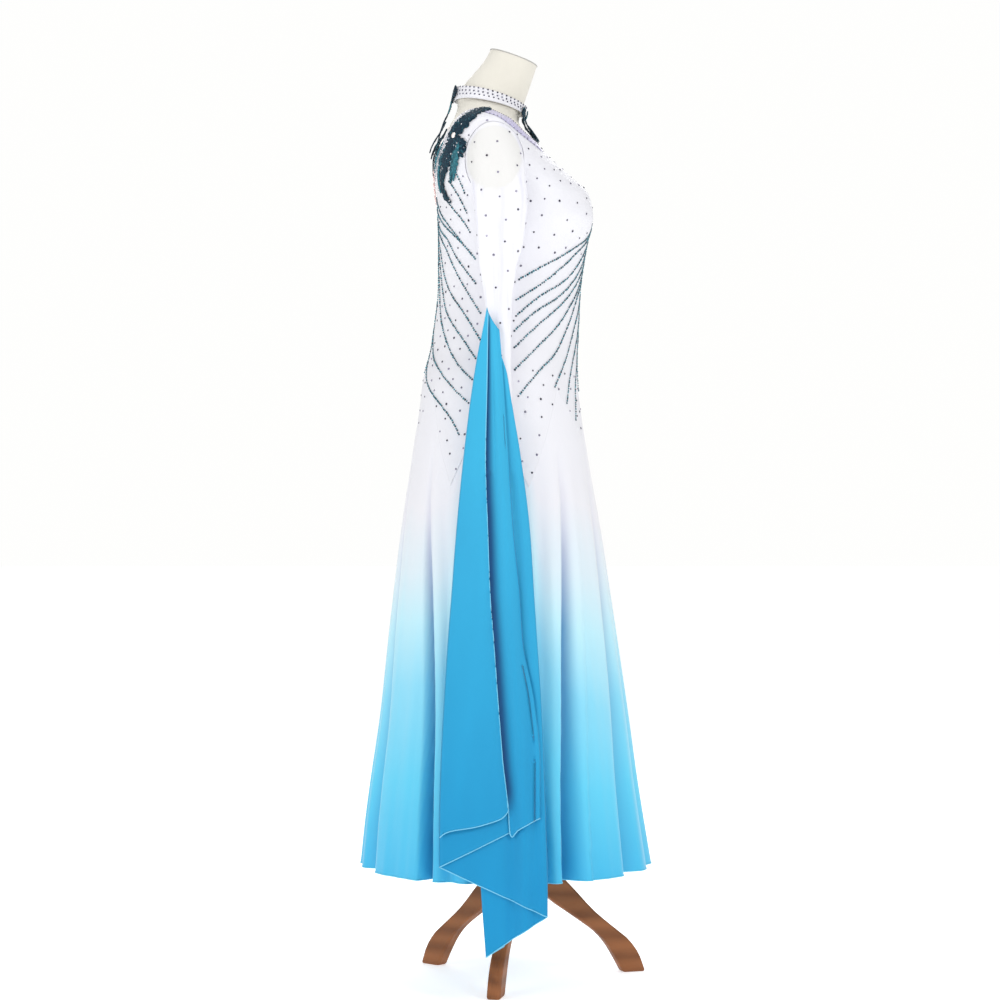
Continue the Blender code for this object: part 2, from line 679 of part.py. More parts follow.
def make_form(skin):
    heights = form_heights()
    columns = [form_angles(z) for z in heights]

    def place(i, j):
        return form_ring(columns[j][i] % 360, heights[j])

    bm = grid(len(columns[0]), len(heights), place)
    bmesh.ops.remove_doubles(bm, verts=bm.verts, dist=0.00001)
    bmesh.ops.reverse_faces(bm, faces=bm.faces)
    open_edges = [edge for edge in bm.edges if edge.is_boundary]
    bmesh.ops.holes_fill(bm, edges=open_edges, sides=0)
    return new_object("form_torso", bm, skin)


def cylinder(name, radius, low, high, bevel, stuff, sides=32):
    bm = bmesh.new()
    bmesh.ops.create_cone(
        bm, cap_ends=True, segments=sides, radius1=radius, radius2=radius, depth=high - low
    )
    bmesh.ops.translate(bm, verts=bm.verts, vec=(0, STAND_Y, (low + high) / 2))
    soften = ("BEVEL", {"width": bevel, "segments": 2, "limit_method": "ANGLE", "angle_limit": 0.9})
    return new_object(name, bm, stuff, soften)


def make_leg(name, turn, wood):
    """A curved board from the hub to a flat foot, swung round the pole."""

    def place(i, j):
        edge = "low" if j == 0 else "top"
        station = i * (len(LEG) - 1) / (LEG_STEPS - 1)
        return Vector((LEG_CURVES[edge + "_r"].at(station), 0, LEG_CURVES[edge + "_z"].at(station)))

    bm = grid(LEG_STEPS, 2, place)
    spin = Matrix.Translation((0, STAND_Y, 0)) @ Matrix.Rotation(math.radians(turn), 4, "Z")
    bmesh.ops.transform(bm, matrix=spin, verts=bm.verts)
    soften = ("BEVEL", {"width": LEG_EDGE, "segments": 2, "limit_method": "ANGLE", "angle_limit": 1.0})
    return new_object(name, bm, wood, wall(LEG_THICK, offset=0), soften)


def main():
    for obj in list(bpy.data.objects):
        bpy.data.objects.remove(obj)
    home = bpy.data.collections.new(COLLECTION)
    bpy.context.scene.collection.children.link(home)

    white = material("white_stretch", WHITE, 0.55, sheen=0.2)
    skirt = material("ombre_chiffon", SKY_BLUE, 0.5, sheen=0.3)
    float_cloth = material("float_chiffon", FLOAT_BLUE, 0.4, sheen=0.3)
    sheer = material("sheer_mesh", WHITE, 0.6)
    lace = material("teal_applique", TEAL, 0.45)
    skin = material("form_cover", CREAM, 0.5)
    walnut = material("walnut", WALNUT, 0.4)

    make_bodice("bodice_front", -1, white)
    make_bodice("bodice_back", 1, white)

    front, fore, aft, back = GORE_EDGES
    make_gore("skirt_front", -front, front, False, skirt)
    make_gore("skirt_back", back, 360 - back, False, skirt)
    for side, flip in (("right", False), ("left", True)):
        make_gore(f"skirt_side_front_{side}", front, fore, flip, skirt)
        make_gore(f"skirt_side_{side}", fore, aft, flip, skirt)
        make_gore(f"skirt_side_back_{side}", aft, back, flip, skirt)

    for side, sign in (("right", -1), ("left", 1)):
        make_sleeve(f"sleeve_{side}", sign, sheer)
        make_float(f"float_{side}", sign, float_cloth)
        make_back_applique(f"applique_back_{side}", sign > 0, lace)

    make_collar(white)
    make_strap("applique_front_strap", FRONT_NECK, FRONT_STRAP_HALF, lace)
    make_strap("applique_back_strap", BACK_NECK, BACK_STRAP_HALF, lace)

    make_form(skin)
    cylinder("stand_hub", HUB_RADIUS, HUB_LOW, HUB_HIGH, 0.004, walnut)
    cylinder("stand_pole", POLE_RADIUS, HUB_HIGH + SEAM_GAP, FORM_HIP[0].z - SEAM_GAP, 0.001, walnut, 24)
    for number, turn in enumerate(LEG_TURNS, start=1):
        make_leg(f"stand_leg_{number}", turn, walnut)


main()
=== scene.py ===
"""Fine cloth, beading, finishes and light for a ballroom dance dress on its dress form.

The wearer faces -Y and the wearer's right side is -X. An angle round the body is in degrees: 0 at
the centre front, 90 at the right side, 180 at the centre back, and below 0 on the left. The shapes
repeat the CAD model's own tables at a finer step.
"""

import json
import math
import random
from bisect import bisect_right
from collections import namedtuple

import bmesh
import bpy
from mathutils import Matrix, Vector, noise

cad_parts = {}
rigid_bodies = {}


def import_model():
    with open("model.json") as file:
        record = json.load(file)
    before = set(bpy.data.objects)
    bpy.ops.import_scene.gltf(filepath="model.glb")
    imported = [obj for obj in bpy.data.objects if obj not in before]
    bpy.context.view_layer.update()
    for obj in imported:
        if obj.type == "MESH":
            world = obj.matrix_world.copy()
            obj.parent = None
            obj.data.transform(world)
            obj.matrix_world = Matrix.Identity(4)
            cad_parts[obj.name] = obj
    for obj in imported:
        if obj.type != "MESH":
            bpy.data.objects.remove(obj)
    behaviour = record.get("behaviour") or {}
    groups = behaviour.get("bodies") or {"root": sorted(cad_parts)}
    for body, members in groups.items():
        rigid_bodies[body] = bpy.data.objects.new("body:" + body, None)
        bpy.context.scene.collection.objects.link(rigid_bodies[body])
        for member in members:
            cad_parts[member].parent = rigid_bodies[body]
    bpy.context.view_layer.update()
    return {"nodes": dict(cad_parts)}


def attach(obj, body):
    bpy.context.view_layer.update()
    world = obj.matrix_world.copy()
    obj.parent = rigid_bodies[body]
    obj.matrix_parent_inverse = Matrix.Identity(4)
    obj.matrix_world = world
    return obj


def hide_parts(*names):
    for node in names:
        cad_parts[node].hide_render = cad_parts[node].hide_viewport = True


bl_info = {
    "name": "Ballroom dance dress",
    "version": (1, 0, 0),
    "blender": (4, 5, 0),
    "location": "View3D > Sidebar > Dance Dress",
    "description": "Dresses the packed model of a ballroom dress and its stand",
    "category": "Object",
}

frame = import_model()

# ---------------------------------------------------------------- tables of the CAD model

HEM_HEIGHT = 0.200
WAIST_HEIGHT = 1.094
ARMPIT_HEIGHT = 1.348
TOP_HEIGHT = 1.608

Section = namedtuple("Section", "z front back half square tilt")
DRESS = (
    Section(0.200, -0.2550, 0.2550, 0.290, 2.00, 0),
    Section(0.345, -0.2310, 0.2336, 0.268, 2.00, 0),
    Section(0.465, -0.2140, 0.2145, 0.250, 2.02, 0),
    Section(0.617, -0.1915, 0.1976, 0.228, 2.05, 0),
    Section(0.788, -0.1650, 0.1800, 0.205, 2.10, 0),
    Section(0.906, -0.1435, 0.1646, 0.190, 2.15, 0),
    Section(0.984, -0.1310, 0.1520, 0.180, 2.20, 0),
    Section(1.045, -0.1240, 0.1440, 0.168, 2.22, 0),
    Section(1.094, -0.1225, 0.1300, 0.150, 2.25, 0),
    Section(1.143, -0.1250, 0.1230, 0.138, 2.28, 0),
    Section(1.204, -0.1290, 0.1170, 0.132, 2.30, 0),
    Section(1.241, -0.1337, 0.1167, 0.135, 2.32, 0),
    Section(1.284, -0.1410, 0.1165, 0.143, 2.35, 0),
    Section(1.325, -0.1496, 0.1175, 0.153, 2.40, 0),
    Section(1.362, -0.1450, 0.1195, 0.159, 2.40, 0),
    Section(1.399, -0.1090, 0.1220, 0.165, 2.40, 0),
    Section(1.421, -0.0845, 0.1220, 0.167, 2.40, 0),
    Section(1.448, -0.0600, 0.1170, 0.168, 2.40, 0),
    Section(1.470, -0.0450, 0.1100, 0.166, 2.40, 0),
    Section(1.482, -0.0370, 0.1050, 0.160, 2.35, 1),
    Section(1.490, -0.0320, 0.1010, 0.145, 2.30, 3),
    Section(1.500, -0.0280, 0.0950, 0.118, 2.20, 5),
    Section(1.508, -0.0260, 0.0910, 0.096, 2.10, 8),
    Section(1.518, -0.0270, 0.0870, 0.074, 2.00, 11),
    Section(1.530, -0.0280, 0.0840, 0.060, 2.00, 14),
    Section(1.545, -0.0320, 0.0780, 0.055, 2.00, 16),
    Section(1.565, -0.0390, 0.0640, 0.0505, 2.00, 17),
    Section(1.588, -0.0470, 0.0450, 0.047, 2.00, 18),
    Section(1.608, -0.0540, 0.0310, 0.045, 2.00, 19),
)
FORM_HIP = (
    Section(0.790, -0.098, 0.112, 0.152, 2.3, 0),
    Section(0.850, -0.105, 0.118, 0.160, 2.3, 0),
    Section(0.950, -0.112, 0.125, 0.165, 2.3, 0),
    Section(1.000, -0.115, 0.130, 0.160, 2.3, 0),
    Section(1.050, -0.118, 0.131, 0.154, 2.3, 0),
)
BUST = {"angle": 28.0, "z": 1.325, "wide": 15.0, "tall": 0.038, "rise": 0.007}

SeamPoint = namedtuple("SeamPoint", "angle z")
WAIST_SEAM = (
    SeamPoint(0, 1.018), SeamPoint(11, 0.977), SeamPoint(22, 0.943), SeamPoint(34.5, 0.980),
    SeamPoint(47, 1.024), SeamPoint(60, 0.935), SeamPoint(73, 0.857), SeamPoint(85, 0.935),
    SeamPoint(97, 1.020), SeamPoint(109, 0.936), SeamPoint(121, 0.861), SeamPoint(133, 0.942),
    SeamPoint(145, 1.035), SeamPoint(154, 0.990), SeamPoint(163, 0.945), SeamPoint(171.5, 0.994),
    SeamPoint(180, 1.045),
)
SIDE_ANGLE = 97
GORE_EDGES = (22, 73, 121, 163)
UPPER_ROWS = 10

Armhole = namedtuple("Armhole", "y z half_y half_z")
ARMHOLE = Armhole(0.020, 1.412, 0.050, 0.064)

EdgePoint = namedtuple("EdgePoint", "climb angle z")
FRONT_NECK = (
    EdgePoint(0, 0, 1.348), EdgePoint(4, 0, 1.446), EdgePoint(5, 23, 1.448), EdgePoint(6, 41, 1.458),
    EdgePoint(7, 50, 1.472), EdgePoint(8, 57, 1.486), EdgePoint(9, 71, 1.497), EdgePoint(10, 90, 1.507),
)
BACK_NECK = (
    EdgePoint(0, 180, 1.348), EdgePoint(2, 180, 1.405), EdgePoint(3, 168, 1.412), EdgePoint(4, 158, 1.436),
    EdgePoint(5, 148, 1.459), EdgePoint(6, 141, 1.471), EdgePoint(7, 134, 1.486), EdgePoint(8, 124, 1.498),
    EdgePoint(9, 108, 1.505), EdgePoint(10, 90, 1.507),
)

Flute = namedtuple("Flute", "angle depth")
FLUTES = (
    Flute(0, 0), Flute(9, 0.012), Flute(19, 0), Flute(30, 0.026), Flute(41, 0), Flute(55, 0.005),
    Flute(65.5, 0.044), Flute(69, 0), Flute(76, 0.020), Flute(82, 0), Flute(88, 0.022), Flute(94, 0),
    Flute(100, 0.022), Flute(106, 0), Flute(112, 0.014), Flute(117.5, 0), Flute(122.5, 0.044),
    Flute(126, 0), Flute(140, 0.004), Flute(151, 0), Flute(160, 0.032), Flute(168, 0.002),
    Flute(174, 0.012), Flute(180, 0),
)
FLUTE_TOP = 0.940
FLUTE_GROWTH = 1.15
DEEPEST_FLUTE = 0.044

SleeveRing = namedtuple("SleeveRing", "z x half_x y half_y")
SLEEVE = (
    SleeveRing(1.330, 0.1840, 0.0220, 0.0088, 0.0445),
    SleeveRing(1.272, 0.1850, 0.0190, 0.0096, 0.0395),
    SleeveRing(1.225, 0.1857, 0.0170, 0.0138, 0.0320),
    SleeveRing(1.171, 0.1870, 0.0150, 0.0130, 0.0244),
    SleeveRing(1.121, 0.1890, 0.0135, 0.0121, 0.0219),
    SleeveRing(1.054, 0.1920, 0.0120, 0.0105, 0.0202),
    SleeveRing(0.980, 0.1990, 0.0105, 0.0090, 0.0200),
    SleeveRing(0.900, 0.2110, 0.0090, 0.0070, 0.0190),
)
SLEEVE_INSET = 0.0006

FoldHeight = namedtuple("FoldHeight", "z outer back_1 front_1 back_2 front_2 back_3 inner base")
FLOAT_FOLDS = (
    FoldHeight(1.157, 0.0305, 0.0322, 0.0150, 0.0330, 0.0130, 0.0200, 0.0120, 0.2020),
    FoldHeight(1.035, 0.0322, 0.0539, 0.0050, 0.0549, -0.0030, 0.0250, 0.0100, 0.2050),
    FoldHeight(0.902, 0.0348, 0.0705, -0.0035, 0.0715, -0.0245, 0.0280, 0.0080, 0.2203),
    FoldHeight(0.783, 0.0310, 0.0820, -0.0115, 0.0830, -0.0392, 0.0320, 0.0060, 0.2250),
    FoldHeight(0.677, 0.0271, 0.0900, -0.0223, 0.0910, -0.0460, 0.0360, 0.0050, 0.2290),
    FoldHeight(0.602, 0.0213, 0.0958, -0.0270, 0.0968, -0.0509, 0.0400, 0.0050, 0.2370),
    FoldHeight(0.502, 0.0140, 0.1020, -0.0458, 0.1030, -0.0574, 0.0440, 0.0040, 0.2510),
    FoldHeight(0.403, 0.0060, 0.1070, -0.0555, 0.1080, -0.0615, 0.0460, 0.0040, 0.2660),
    FoldHeight(0.312, -0.0030, 0.1092, -0.0553, 0.1102, -0.0645, 0.0460, 0.0040, 0.2800),
    FoldHeight(0.200, -0.0030, 0.1092, -0.0553, 0.1102, -0.0674, 0.0417, 0.0040, 0.2970),
    FoldHeight(0.080, -0.0030, 0.1092, -0.0553, 0.1102, -0.0673, 0.0330, 0.0040, 0.3000),
)
FloatEdge = namedtuple("FloatEdge", "line top hem")
FLOAT_EDGES = (
    FloatEdge("outer", 1.150, 0.330), FloatEdge("back_1", 1.157, 0.281), FloatEdge("front_1", 1.120, 0.312),
    FloatEdge("back_2", 1.100, 0.2325), FloatEdge("front_2", 1.075, 0.151), FloatEdge("back_3", 1.000, 0.0845),
    FloatEdge("inner", 0.950, 0.102),
)
FLOAT_WALL = 0.0012
FLOAT_SEAT = 0.0005
LAYER_STEP_TOP = 0.0022
LAYER_STEP_HEM = 0.0045

COLLAR_LOW = 1.5195
COLLAR_HIGH = 1.5395
COLLAR_STAND = 0.0045
BODY_CLEARANCE = 0.0005
CAD_WALL = 0.0012

ARM_PLATE_X = 0.1585
FORM_DROP = 0.004
FormInset = namedtuple("FormInset", "z depth")
FORM_INSETS = (
    FormInset(1.094, 0.0042), FormInset(1.130, 0.0028), FormInset(1.165, 0.0017),
    FormInset(1.284, 0.0017), FormInset(1.321, 0.0040), FormInset(1.508, 0.0040),
    FormInset(1.518, 0.0),
)
FITTED_TOP = 1.284
DROP_END = 1.504
NECK_START = 1.514

LEG_TURNS = (168.0, 288.0, 48.0)

# ---------------------------------------------------------------- where the trimming lies

# Lines of beads on the right half, as (angle, height) pairs from their outer end to the centre.
FRONT_LINES = (
    ((83, 1.211), (60, 1.240), (38, 1.268), (25, 1.284), (4, 1.310)),
    ((84, 1.175), (66, 1.202), (42, 1.245), (28, 1.270), (4, 1.300)),
    ((83, 1.148), (65, 1.183), (44, 1.211), (22, 1.254), (4, 1.288)),
    ((83, 1.122), (70, 1.152), (47, 1.186), (20, 1.237), (4, 1.270)),
    ((82, 1.093), (63, 1.137), (45, 1.171), (17, 1.226), (3, 1.252)),
    ((80, 1.055), (62, 1.100), (51, 1.1255), (34, 1.170), (17, 1.208), (3, 1.236)),
    ((77, 1.0105), (61, 1.0556), (49, 1.084), (35, 1.138), (20, 1.189), (3, 1.218)),
    ((49, 1.027), (44, 1.0466), (34, 1.089), (23, 1.139), (14, 1.165), (3, 1.196)),
    ((38, 1.000), (27, 1.066), (14, 1.115), (3, 1.160)),
    ((28, 0.972), (20, 1.036), (10, 1.082), (3, 1.125)),
)
BACK_LINES = (
    ((127, 1.358), (131, 1.397)),
    ((126, 1.324), (132, 1.353), (140, 1.382)),
    ((123, 1.292), (130, 1.313), (147, 1.354)),
    ((119, 1.2495), (141, 1.300), (160, 1.335), (176, 1.362)),
    ((118, 1.246), (133, 1.280), (152, 1.310), (177, 1.345)),
    ((117, 1.205), (135, 1.251), (146, 1.282), (162, 1.305), (177, 1.330)),
    ((111, 1.153), (129, 1.206), (150, 1.271), (164, 1.296), (177, 1.318)),
    ((109, 1.107), (123, 1.149), (146, 1.205), (162, 1.268), (177, 1.305)),
    ((110, 1.074), (124, 1.111), (149, 1.175), (162, 1.240), (177, 1.290)),
    ((110, 1.038), (130, 1.081), (151, 1.147), (167, 1.218), (177, 1.262)),
    ((112, 0.999), (122, 1.020), (137, 1.052), (159, 1.091), (170, 1.130), (177, 1.180)),
    ((117, 0.945), (123, 0.969), (133, 0.995), (159, 1.0475), (170, 1.080), (177, 1.120)),
)
Leaf = namedtuple("Leaf", "width tone path")
# Leaves of the shoulder appliqué: widest width in metres, tone from 0, dark, to 1, turquoise.
SHOULDER_LEAVES = (
    Leaf(0.024, 0.00, ((84, 1.5050), (91, 1.5030), (100, 1.4985), (108, 1.4920), (117, 1.4800))),
    Leaf(0.029, 0.00, ((99, 1.5000), (108, 1.4910), (117, 1.4790), (125, 1.4640), (131, 1.4500))),
    Leaf(0.016, 0.10, ((121, 1.4860), (128, 1.4740), (134, 1.4600), (138, 1.4480))),
    Leaf(0.016, 0.00, ((138, 1.4600), (133, 1.4533), (126, 1.4460), (119, 1.4410), (114, 1.4380))),
    Leaf(0.015, 0.00, ((136, 1.4480), (130, 1.4440), (123, 1.4360), (118, 1.4290), (114.5, 1.4250))),
    Leaf(0.012, 0.00, ((134, 1.4420), (128, 1.4330), (123, 1.4240), (120, 1.4170))),
    Leaf(0.030, 0.00, ((127, 1.4560), (133, 1.4400), (138, 1.4220), (142, 1.4060), (146, 1.3840))),
    Leaf(0.012, 0.50, ((122, 1.4420), (125, 1.4280), (128, 1.4120), (131, 1.3980), (134, 1.3800))),
    Leaf(0.010, 0.35, ((128, 1.4300), (131, 1.4120), (135, 1.3940), (138, 1.3760))),
    Leaf(0.014, 0.25, ((136, 1.4400), (144, 1.4260), (151, 1.4100), (156, 1.3920))),
    Leaf(0.014, 0.05, ((143, 1.4080), (147, 1.3900), (149, 1.3720), (144, 1.3520), (139, 1.3440))),
    Leaf(0.011, 0.55, ((150, 1.4100), (153, 1.3960), (154, 1.3800), (152, 1.3640))),
    Leaf(0.014, 0.05, ((152, 1.4620), (160, 1.4480), (168, 1.4330), (173, 1.4180))),
    Leaf(0.010, 0.60, ((146, 1.4480), (154, 1.4340), (162, 1.4200), (168, 1.4040))),
)
SILVER_LINE = ((106, 1.5030), (118, 1.4960), (128, 1.4830), (136, 1.4660), (145, 1.4480), (153, 1.4280),
               (162, 1.4120), (170, 1.4020), (176, 1.3900), (178, 1.3700), (178, 1.3500))
LARGE_CRYSTALS = ((129.0, 1.4545, 0.0056, 0.9), (176.0, 1.4080, 0.0042, 0.35), (173.0, 1.3970, 0.0038, 0.2),
                  (176.5, 1.3860, 0.0042, 0.3), (173.5, 1.3750, 0.0038, 0.1), (176.5, 1.3640, 0.0042, 0.25),
                  (171.0, 1.3560, 0.0034, 0.4), (141.0, 1.4700, 0.0028, 0.9), (150.0, 1.4480, 0.0026, 0.9))
FRONT_STRAP_LEAVES = (
    Leaf(0.017, 0.00, ((21, 1.5330), (20, 1.5150), (15, 1.4950), (10, 1.4760), (6, 1.4560))),
    Leaf(0.017, 0.00, ((-21, 1.5330), (-20, 1.5150), (-15, 1.4950), (-10, 1.4760), (-6, 1.4560))),
    Leaf(0.015, 0.25, ((1, 1.5300), (3, 1.5100), (4, 1.4930), (2, 1.4740), (0, 1.4600))),
    Leaf(0.010, 0.00, ((4, 1.4850), (8, 1.4700), (16, 1.4580), (26, 1.4520))),
    Leaf(0.010, 0.10, ((-3, 1.4860), (-8, 1.4720), (-16, 1.4600), (-25, 1.4540))),
)
BACK_STRAP_LEAVES = (
    Leaf(0.060, 0.00, ((180, 1.5410), (180, 1.5330), (180, 1.5240), (180, 1.5150))),
    Leaf(0.030, 0.65, ((180, 1.5200), (180, 1.5130), (180, 1.5070), (180, 1.5010))),
    Leaf(0.006, 0.00, ((181, 1.5060), (180, 1.4990), (179, 1.4920), (180, 1.4850))),
    Leaf(0.016, 0.00, ((184, 1.5000), (178, 1.4900), (176, 1.4780), (179, 1.4640))),
    Leaf(0.013, 0.25, ((178, 1.4740), (183, 1.4600), (184, 1.4440), (181, 1.4280))),
    Leaf(0.013, 0.00, ((182, 1.4400), (177, 1.4280), (176, 1.4160), (180, 1.4020))),
)
# The leaf on the back edge whose tip stands off the body; it is made on both sides.
FREE_LEAVES = (
    Leaf(0.030, 0.00, ((164, 1.4860), (165, 1.4720), (166, 1.4580), (165, 1.4440), (164, 1.4320))),
)
FREE_LEAF_LIFT = 0.010

# ---------------------------------------------------------------- curves and body surface


class Curve:
    """A smooth curve through (place, value) pairs that never overshoots them."""

    def __init__(self, places, values):
        order = sorted(zip(places, values))
        self.places = [p for p, _ in order]
        self.values = [v for _, v in order]
        steps = list(zip(self.places, self.places[1:]))
        rises = [(v1 - v0) / (p1 - p0) for (p0, p1), v0, v1 in zip(steps, self.values, self.values[1:])]
        middle = [2 * a * b / (a + b) if a * b > 0 else 0.0 for a, b in zip(rises, rises[1:])]
        self.slopes = [rises[0], *middle, rises[-1]]

    def at(self, place):
        place = min(max(place, self.places[0]), self.places[-1])
        i = min(bisect_right(self.places, place) - 1, len(self.places) - 2)
        width = self.places[i + 1] - self.places[i]
        s = (place - self.places[i]) / width
        start = (1 + 2 * s) * (1 - s) ** 2 * self.values[i]
        end = s * s * (3 - 2 * s) * self.values[i + 1]
        lean_in = s * (1 - s) ** 2 * width * self.slopes[i]
        lean_out = s * s * (s - 1) * width * self.slopes[i + 1]
        return start + end + lean_in + lean_out


def curves(rows, place="z"):
    """A smooth curve for each named column of a table."""
    names = [name for name in rows[0]._fields if name != place]
    places = [getattr(row, place) for row in rows]
    return {name: Curve(places, [getattr(row, name) for row in rows]) for name in names}


def lerp(a, b, s):
    return a + (b - a) * s


def unit(x):
    """The value, held between 0 and 1."""
    return min(1.0, max(0.0, x))


def smooth(low, high, x):
    """From 0 at low to 1 at high, with level ends."""
    s = unit((x - low) / (high - low))
    return s * s * (3 - 2 * s)


DRESS_CURVES = curves(DRESS)
FORM_CURVES = curves(FORM_HIP + tuple(s for s in DRESS if WAIST_HEIGHT <= s.z < 1.15))
FORM_INSET_CURVES = curves(FORM_INSETS)
FORM_DROPS = Curve((FITTED_TOP, FITTED_TOP + 0.001, DROP_END, NECK_START), (0, FORM_DROP, FORM_DROP, 0))
SLEEVE_CURVES = curves(SLEEVE)
FLOAT_CURVES = curves(FLOAT_FOLDS)
NECK_CURVES = {-1: curves(FRONT_NECK, "climb"), 1: curves(BACK_NECK, "climb")}


def ring_values(columns, z):
    return tuple(columns[name].at(z) for name in ("front", "back", "half", "square", "tilt"))


def ring_point(columns, angle, z):
    """The point of a rounded, tilted ring at an angle in degrees."""
    front, back, half, square, tilt = ring_values(columns, z)
    sine, cosine = math.sin(math.radians(angle)), math.cos(math.radians(angle))
    reach = (abs(sine) ** square + abs(cosine) ** square) ** (-1 / square)
    middle, depth = (front + back) / 2, (back - front) / 2
    y = middle - depth * reach * cosine
    return Vector((-half * reach * sine, y, z + math.tan(math.radians(tilt)) * (y - middle)))


def turned(angle):
    """The same direction as an angle from -180 to 180."""
    return (angle + 180) % 360 - 180


def body_point(angle, z):
    """The dress's outer face without its flutes."""
    point = ring_point(DRESS_CURVES, angle, z)
    side = (abs(turned(angle)) - BUST["angle"]) / BUST["wide"]
    height = (z - BUST["z"]) / BUST["tall"]
    point.y -= BUST["rise"] * math.exp(-side * side - height * height)
    return point


def outward(surface, angle, z):
    """The direction that points out of a surface given by angle and height."""
    across = surface(angle + 0.4, z) - surface(angle - 0.4, z)
    up = surface(angle, z + 0.001) - surface(angle, z - 0.001)
    return up.cross(across).normalized()


def on_body(angle, z, out=0.0):
    return body_point(angle, z) + out * outward(body_point, angle, z)


def body_place(point):
    """The angle and height of the body ring that passes nearest a point."""
    z = point.z
    for _ in range(3):
        front, back, half, _, tilt = ring_values(DRESS_CURVES, z)
        middle = (front + back) / 2
        z = point.z - math.tan(math.radians(tilt)) * (point.y - middle)
    return math.degrees(math.atan2(-point.x / half, (middle - point.y) / ((back - front) / 2))), z


def angle_at(y, z):
    """The angle, from the front round the right side, at which the body has this y."""
    low, high = 0.0, 180.0
    while high - low > 1e-4:
        middle = (low + high) / 2
        if body_point(middle, z).y < y:
            low = middle
        else:
            high = middle
    return (low + high) / 2


def armhole_angle(turn, side):
    """The armhole's edge at a turn from -90, its foot, to 90, its top; side -1 is the front half."""
    y = ARMHOLE.y + side * ARMHOLE.half_y * math.cos(math.radians(turn))
    z = ARMHOLE.z + ARMHOLE.half_z * math.sin(math.radians(turn))
    return angle_at(y, z), z


ARMHOLE_FOOT = armhole_angle(-90, 1)[0]
SIDE_SEAM = Curve((0.85, 1.02, 1.15, 1.30, ARMPIT_HEIGHT), (SIDE_ANGLE, SIDE_ANGLE, 93, 93, ARMHOLE_FOOT))


def waver(*place):
    """Smooth noise from -1 to 1."""
    return noise.noise(Vector(place))


def cloth_rise(angle, z):
    """How far the stretch cloth's small drag folds stand out."""
    around = math.radians(angle)
    x, y = math.sin(around), math.cos(around)
    waist = math.exp(-(((z - 1.105) / 0.055) ** 2))
    drag = 0.5 + 0.5 * waver(2.2 * x, 2.2 * y, 42 * z)
    soft = 0.5 + 0.5 * waver(4.0 * x + 7, 4.0 * y, 11 * z)
    fade = smooth(0.86, 0.95, z) * (1 - smooth(1.40, 1.46, z))
    return (0.0016 * waist * drag + 0.0011 * soft) * fade


def on_cloth(angle, z, out=0.0):
    return on_body(angle, z, out + cloth_rise(angle, z))


def seam_height(angle):
    """Height of the seam between bodice and skirt."""
    angle = abs(turned(angle))
    i = min(bisect_right([p.angle for p in WAIST_SEAM], angle) - 1, len(WAIST_SEAM) - 2)
    a, b = WAIST_SEAM[i], WAIST_SEAM[i + 1]
    return lerp(a.z, b.z, (angle - a.angle) / (b.angle - a.angle))


def bodice_place(share, rise, side):
    """Angle and height of a bodice point. Rise is 0-1 over the hip, 1-2 to the armpit and 2-3 to the
    shoulder; share is 0 on the centre line and 1 at the side; side is -1 in front and 1 behind."""
    centre = 0 if side < 0 else 180
    if rise <= 1:
        z = lerp(seam_height(lerp(centre, SIDE_ANGLE, share)), WAIST_HEIGHT, rise)
        return lerp(centre, SIDE_SEAM.at(z), share), z
    if rise <= 2:
        z = lerp(WAIST_HEIGHT, ARMPIT_HEIGHT, rise - 1)
        return lerp(centre, SIDE_SEAM.at(z), share), z
    climb = (rise - 2) * UPPER_ROWS
    neck = NECK_CURVES[side]
    arm_angle, arm_z = armhole_angle(lerp(-90, 90, climb / UPPER_ROWS), side)
    return lerp(neck["angle"].at(climb), arm_angle, share), lerp(neck["z"].at(climb), arm_z, share)


def polyline_steps(points, pitch):
    """Points at an even pitch along a line of close points."""
    gone, due, placed = 0.0, 0.0, []
    for a, b in zip(points, points[1:]):
        length = (b - a).length
        while due <= gone + length and length > 0:
            placed.append(a.lerp(b, (due - gone) / length))
            due += pitch
        gone += length
    return placed


def smooth_path(pairs, steps=16):
    """(angle, height) pairs on a smooth curve through the given ones."""
    places = range(len(pairs))
    angles = Curve(places, [pair[0] for pair in pairs])
    heights = Curve(places, [pair[1] for pair in pairs])
    count = (len(pairs) - 1) * steps
    return [(angles.at(i / steps), heights.at(i / steps)) for i in range(count + 1)]


# ---------------------------------------------------------------- making meshes


def add_mesh(name, vertices, faces, stuff, uv=None, attributes=None, sharp=None):
    """A mesh object whose place is in its mesh; uv and attributes hold one value per vertex."""
    mesh = bpy.data.meshes.new(name)
    mesh.from_pydata([tuple(v) for v in vertices], [], faces)
    if uv is not None:
        layer = mesh.uv_layers.new(name="cloth")
        for loop in mesh.loops:
            layer.data[loop.index].uv = uv[loop.vertex_index]
    for label, values in (attributes or {}).items():
        mesh.attributes.new(label, "FLOAT", "POINT").data.foreach_set("value", values)
    mesh.materials.append(stuff)
    mesh.validate()
    mesh.shade_smooth()
    if sharp is not None:
        mesh.set_sharp_from_angle(angle=math.radians(sharp))
    obj = bpy.data.objects.new(name, mesh)
    bpy.context.scene.collection.objects.link(obj)
    return obj


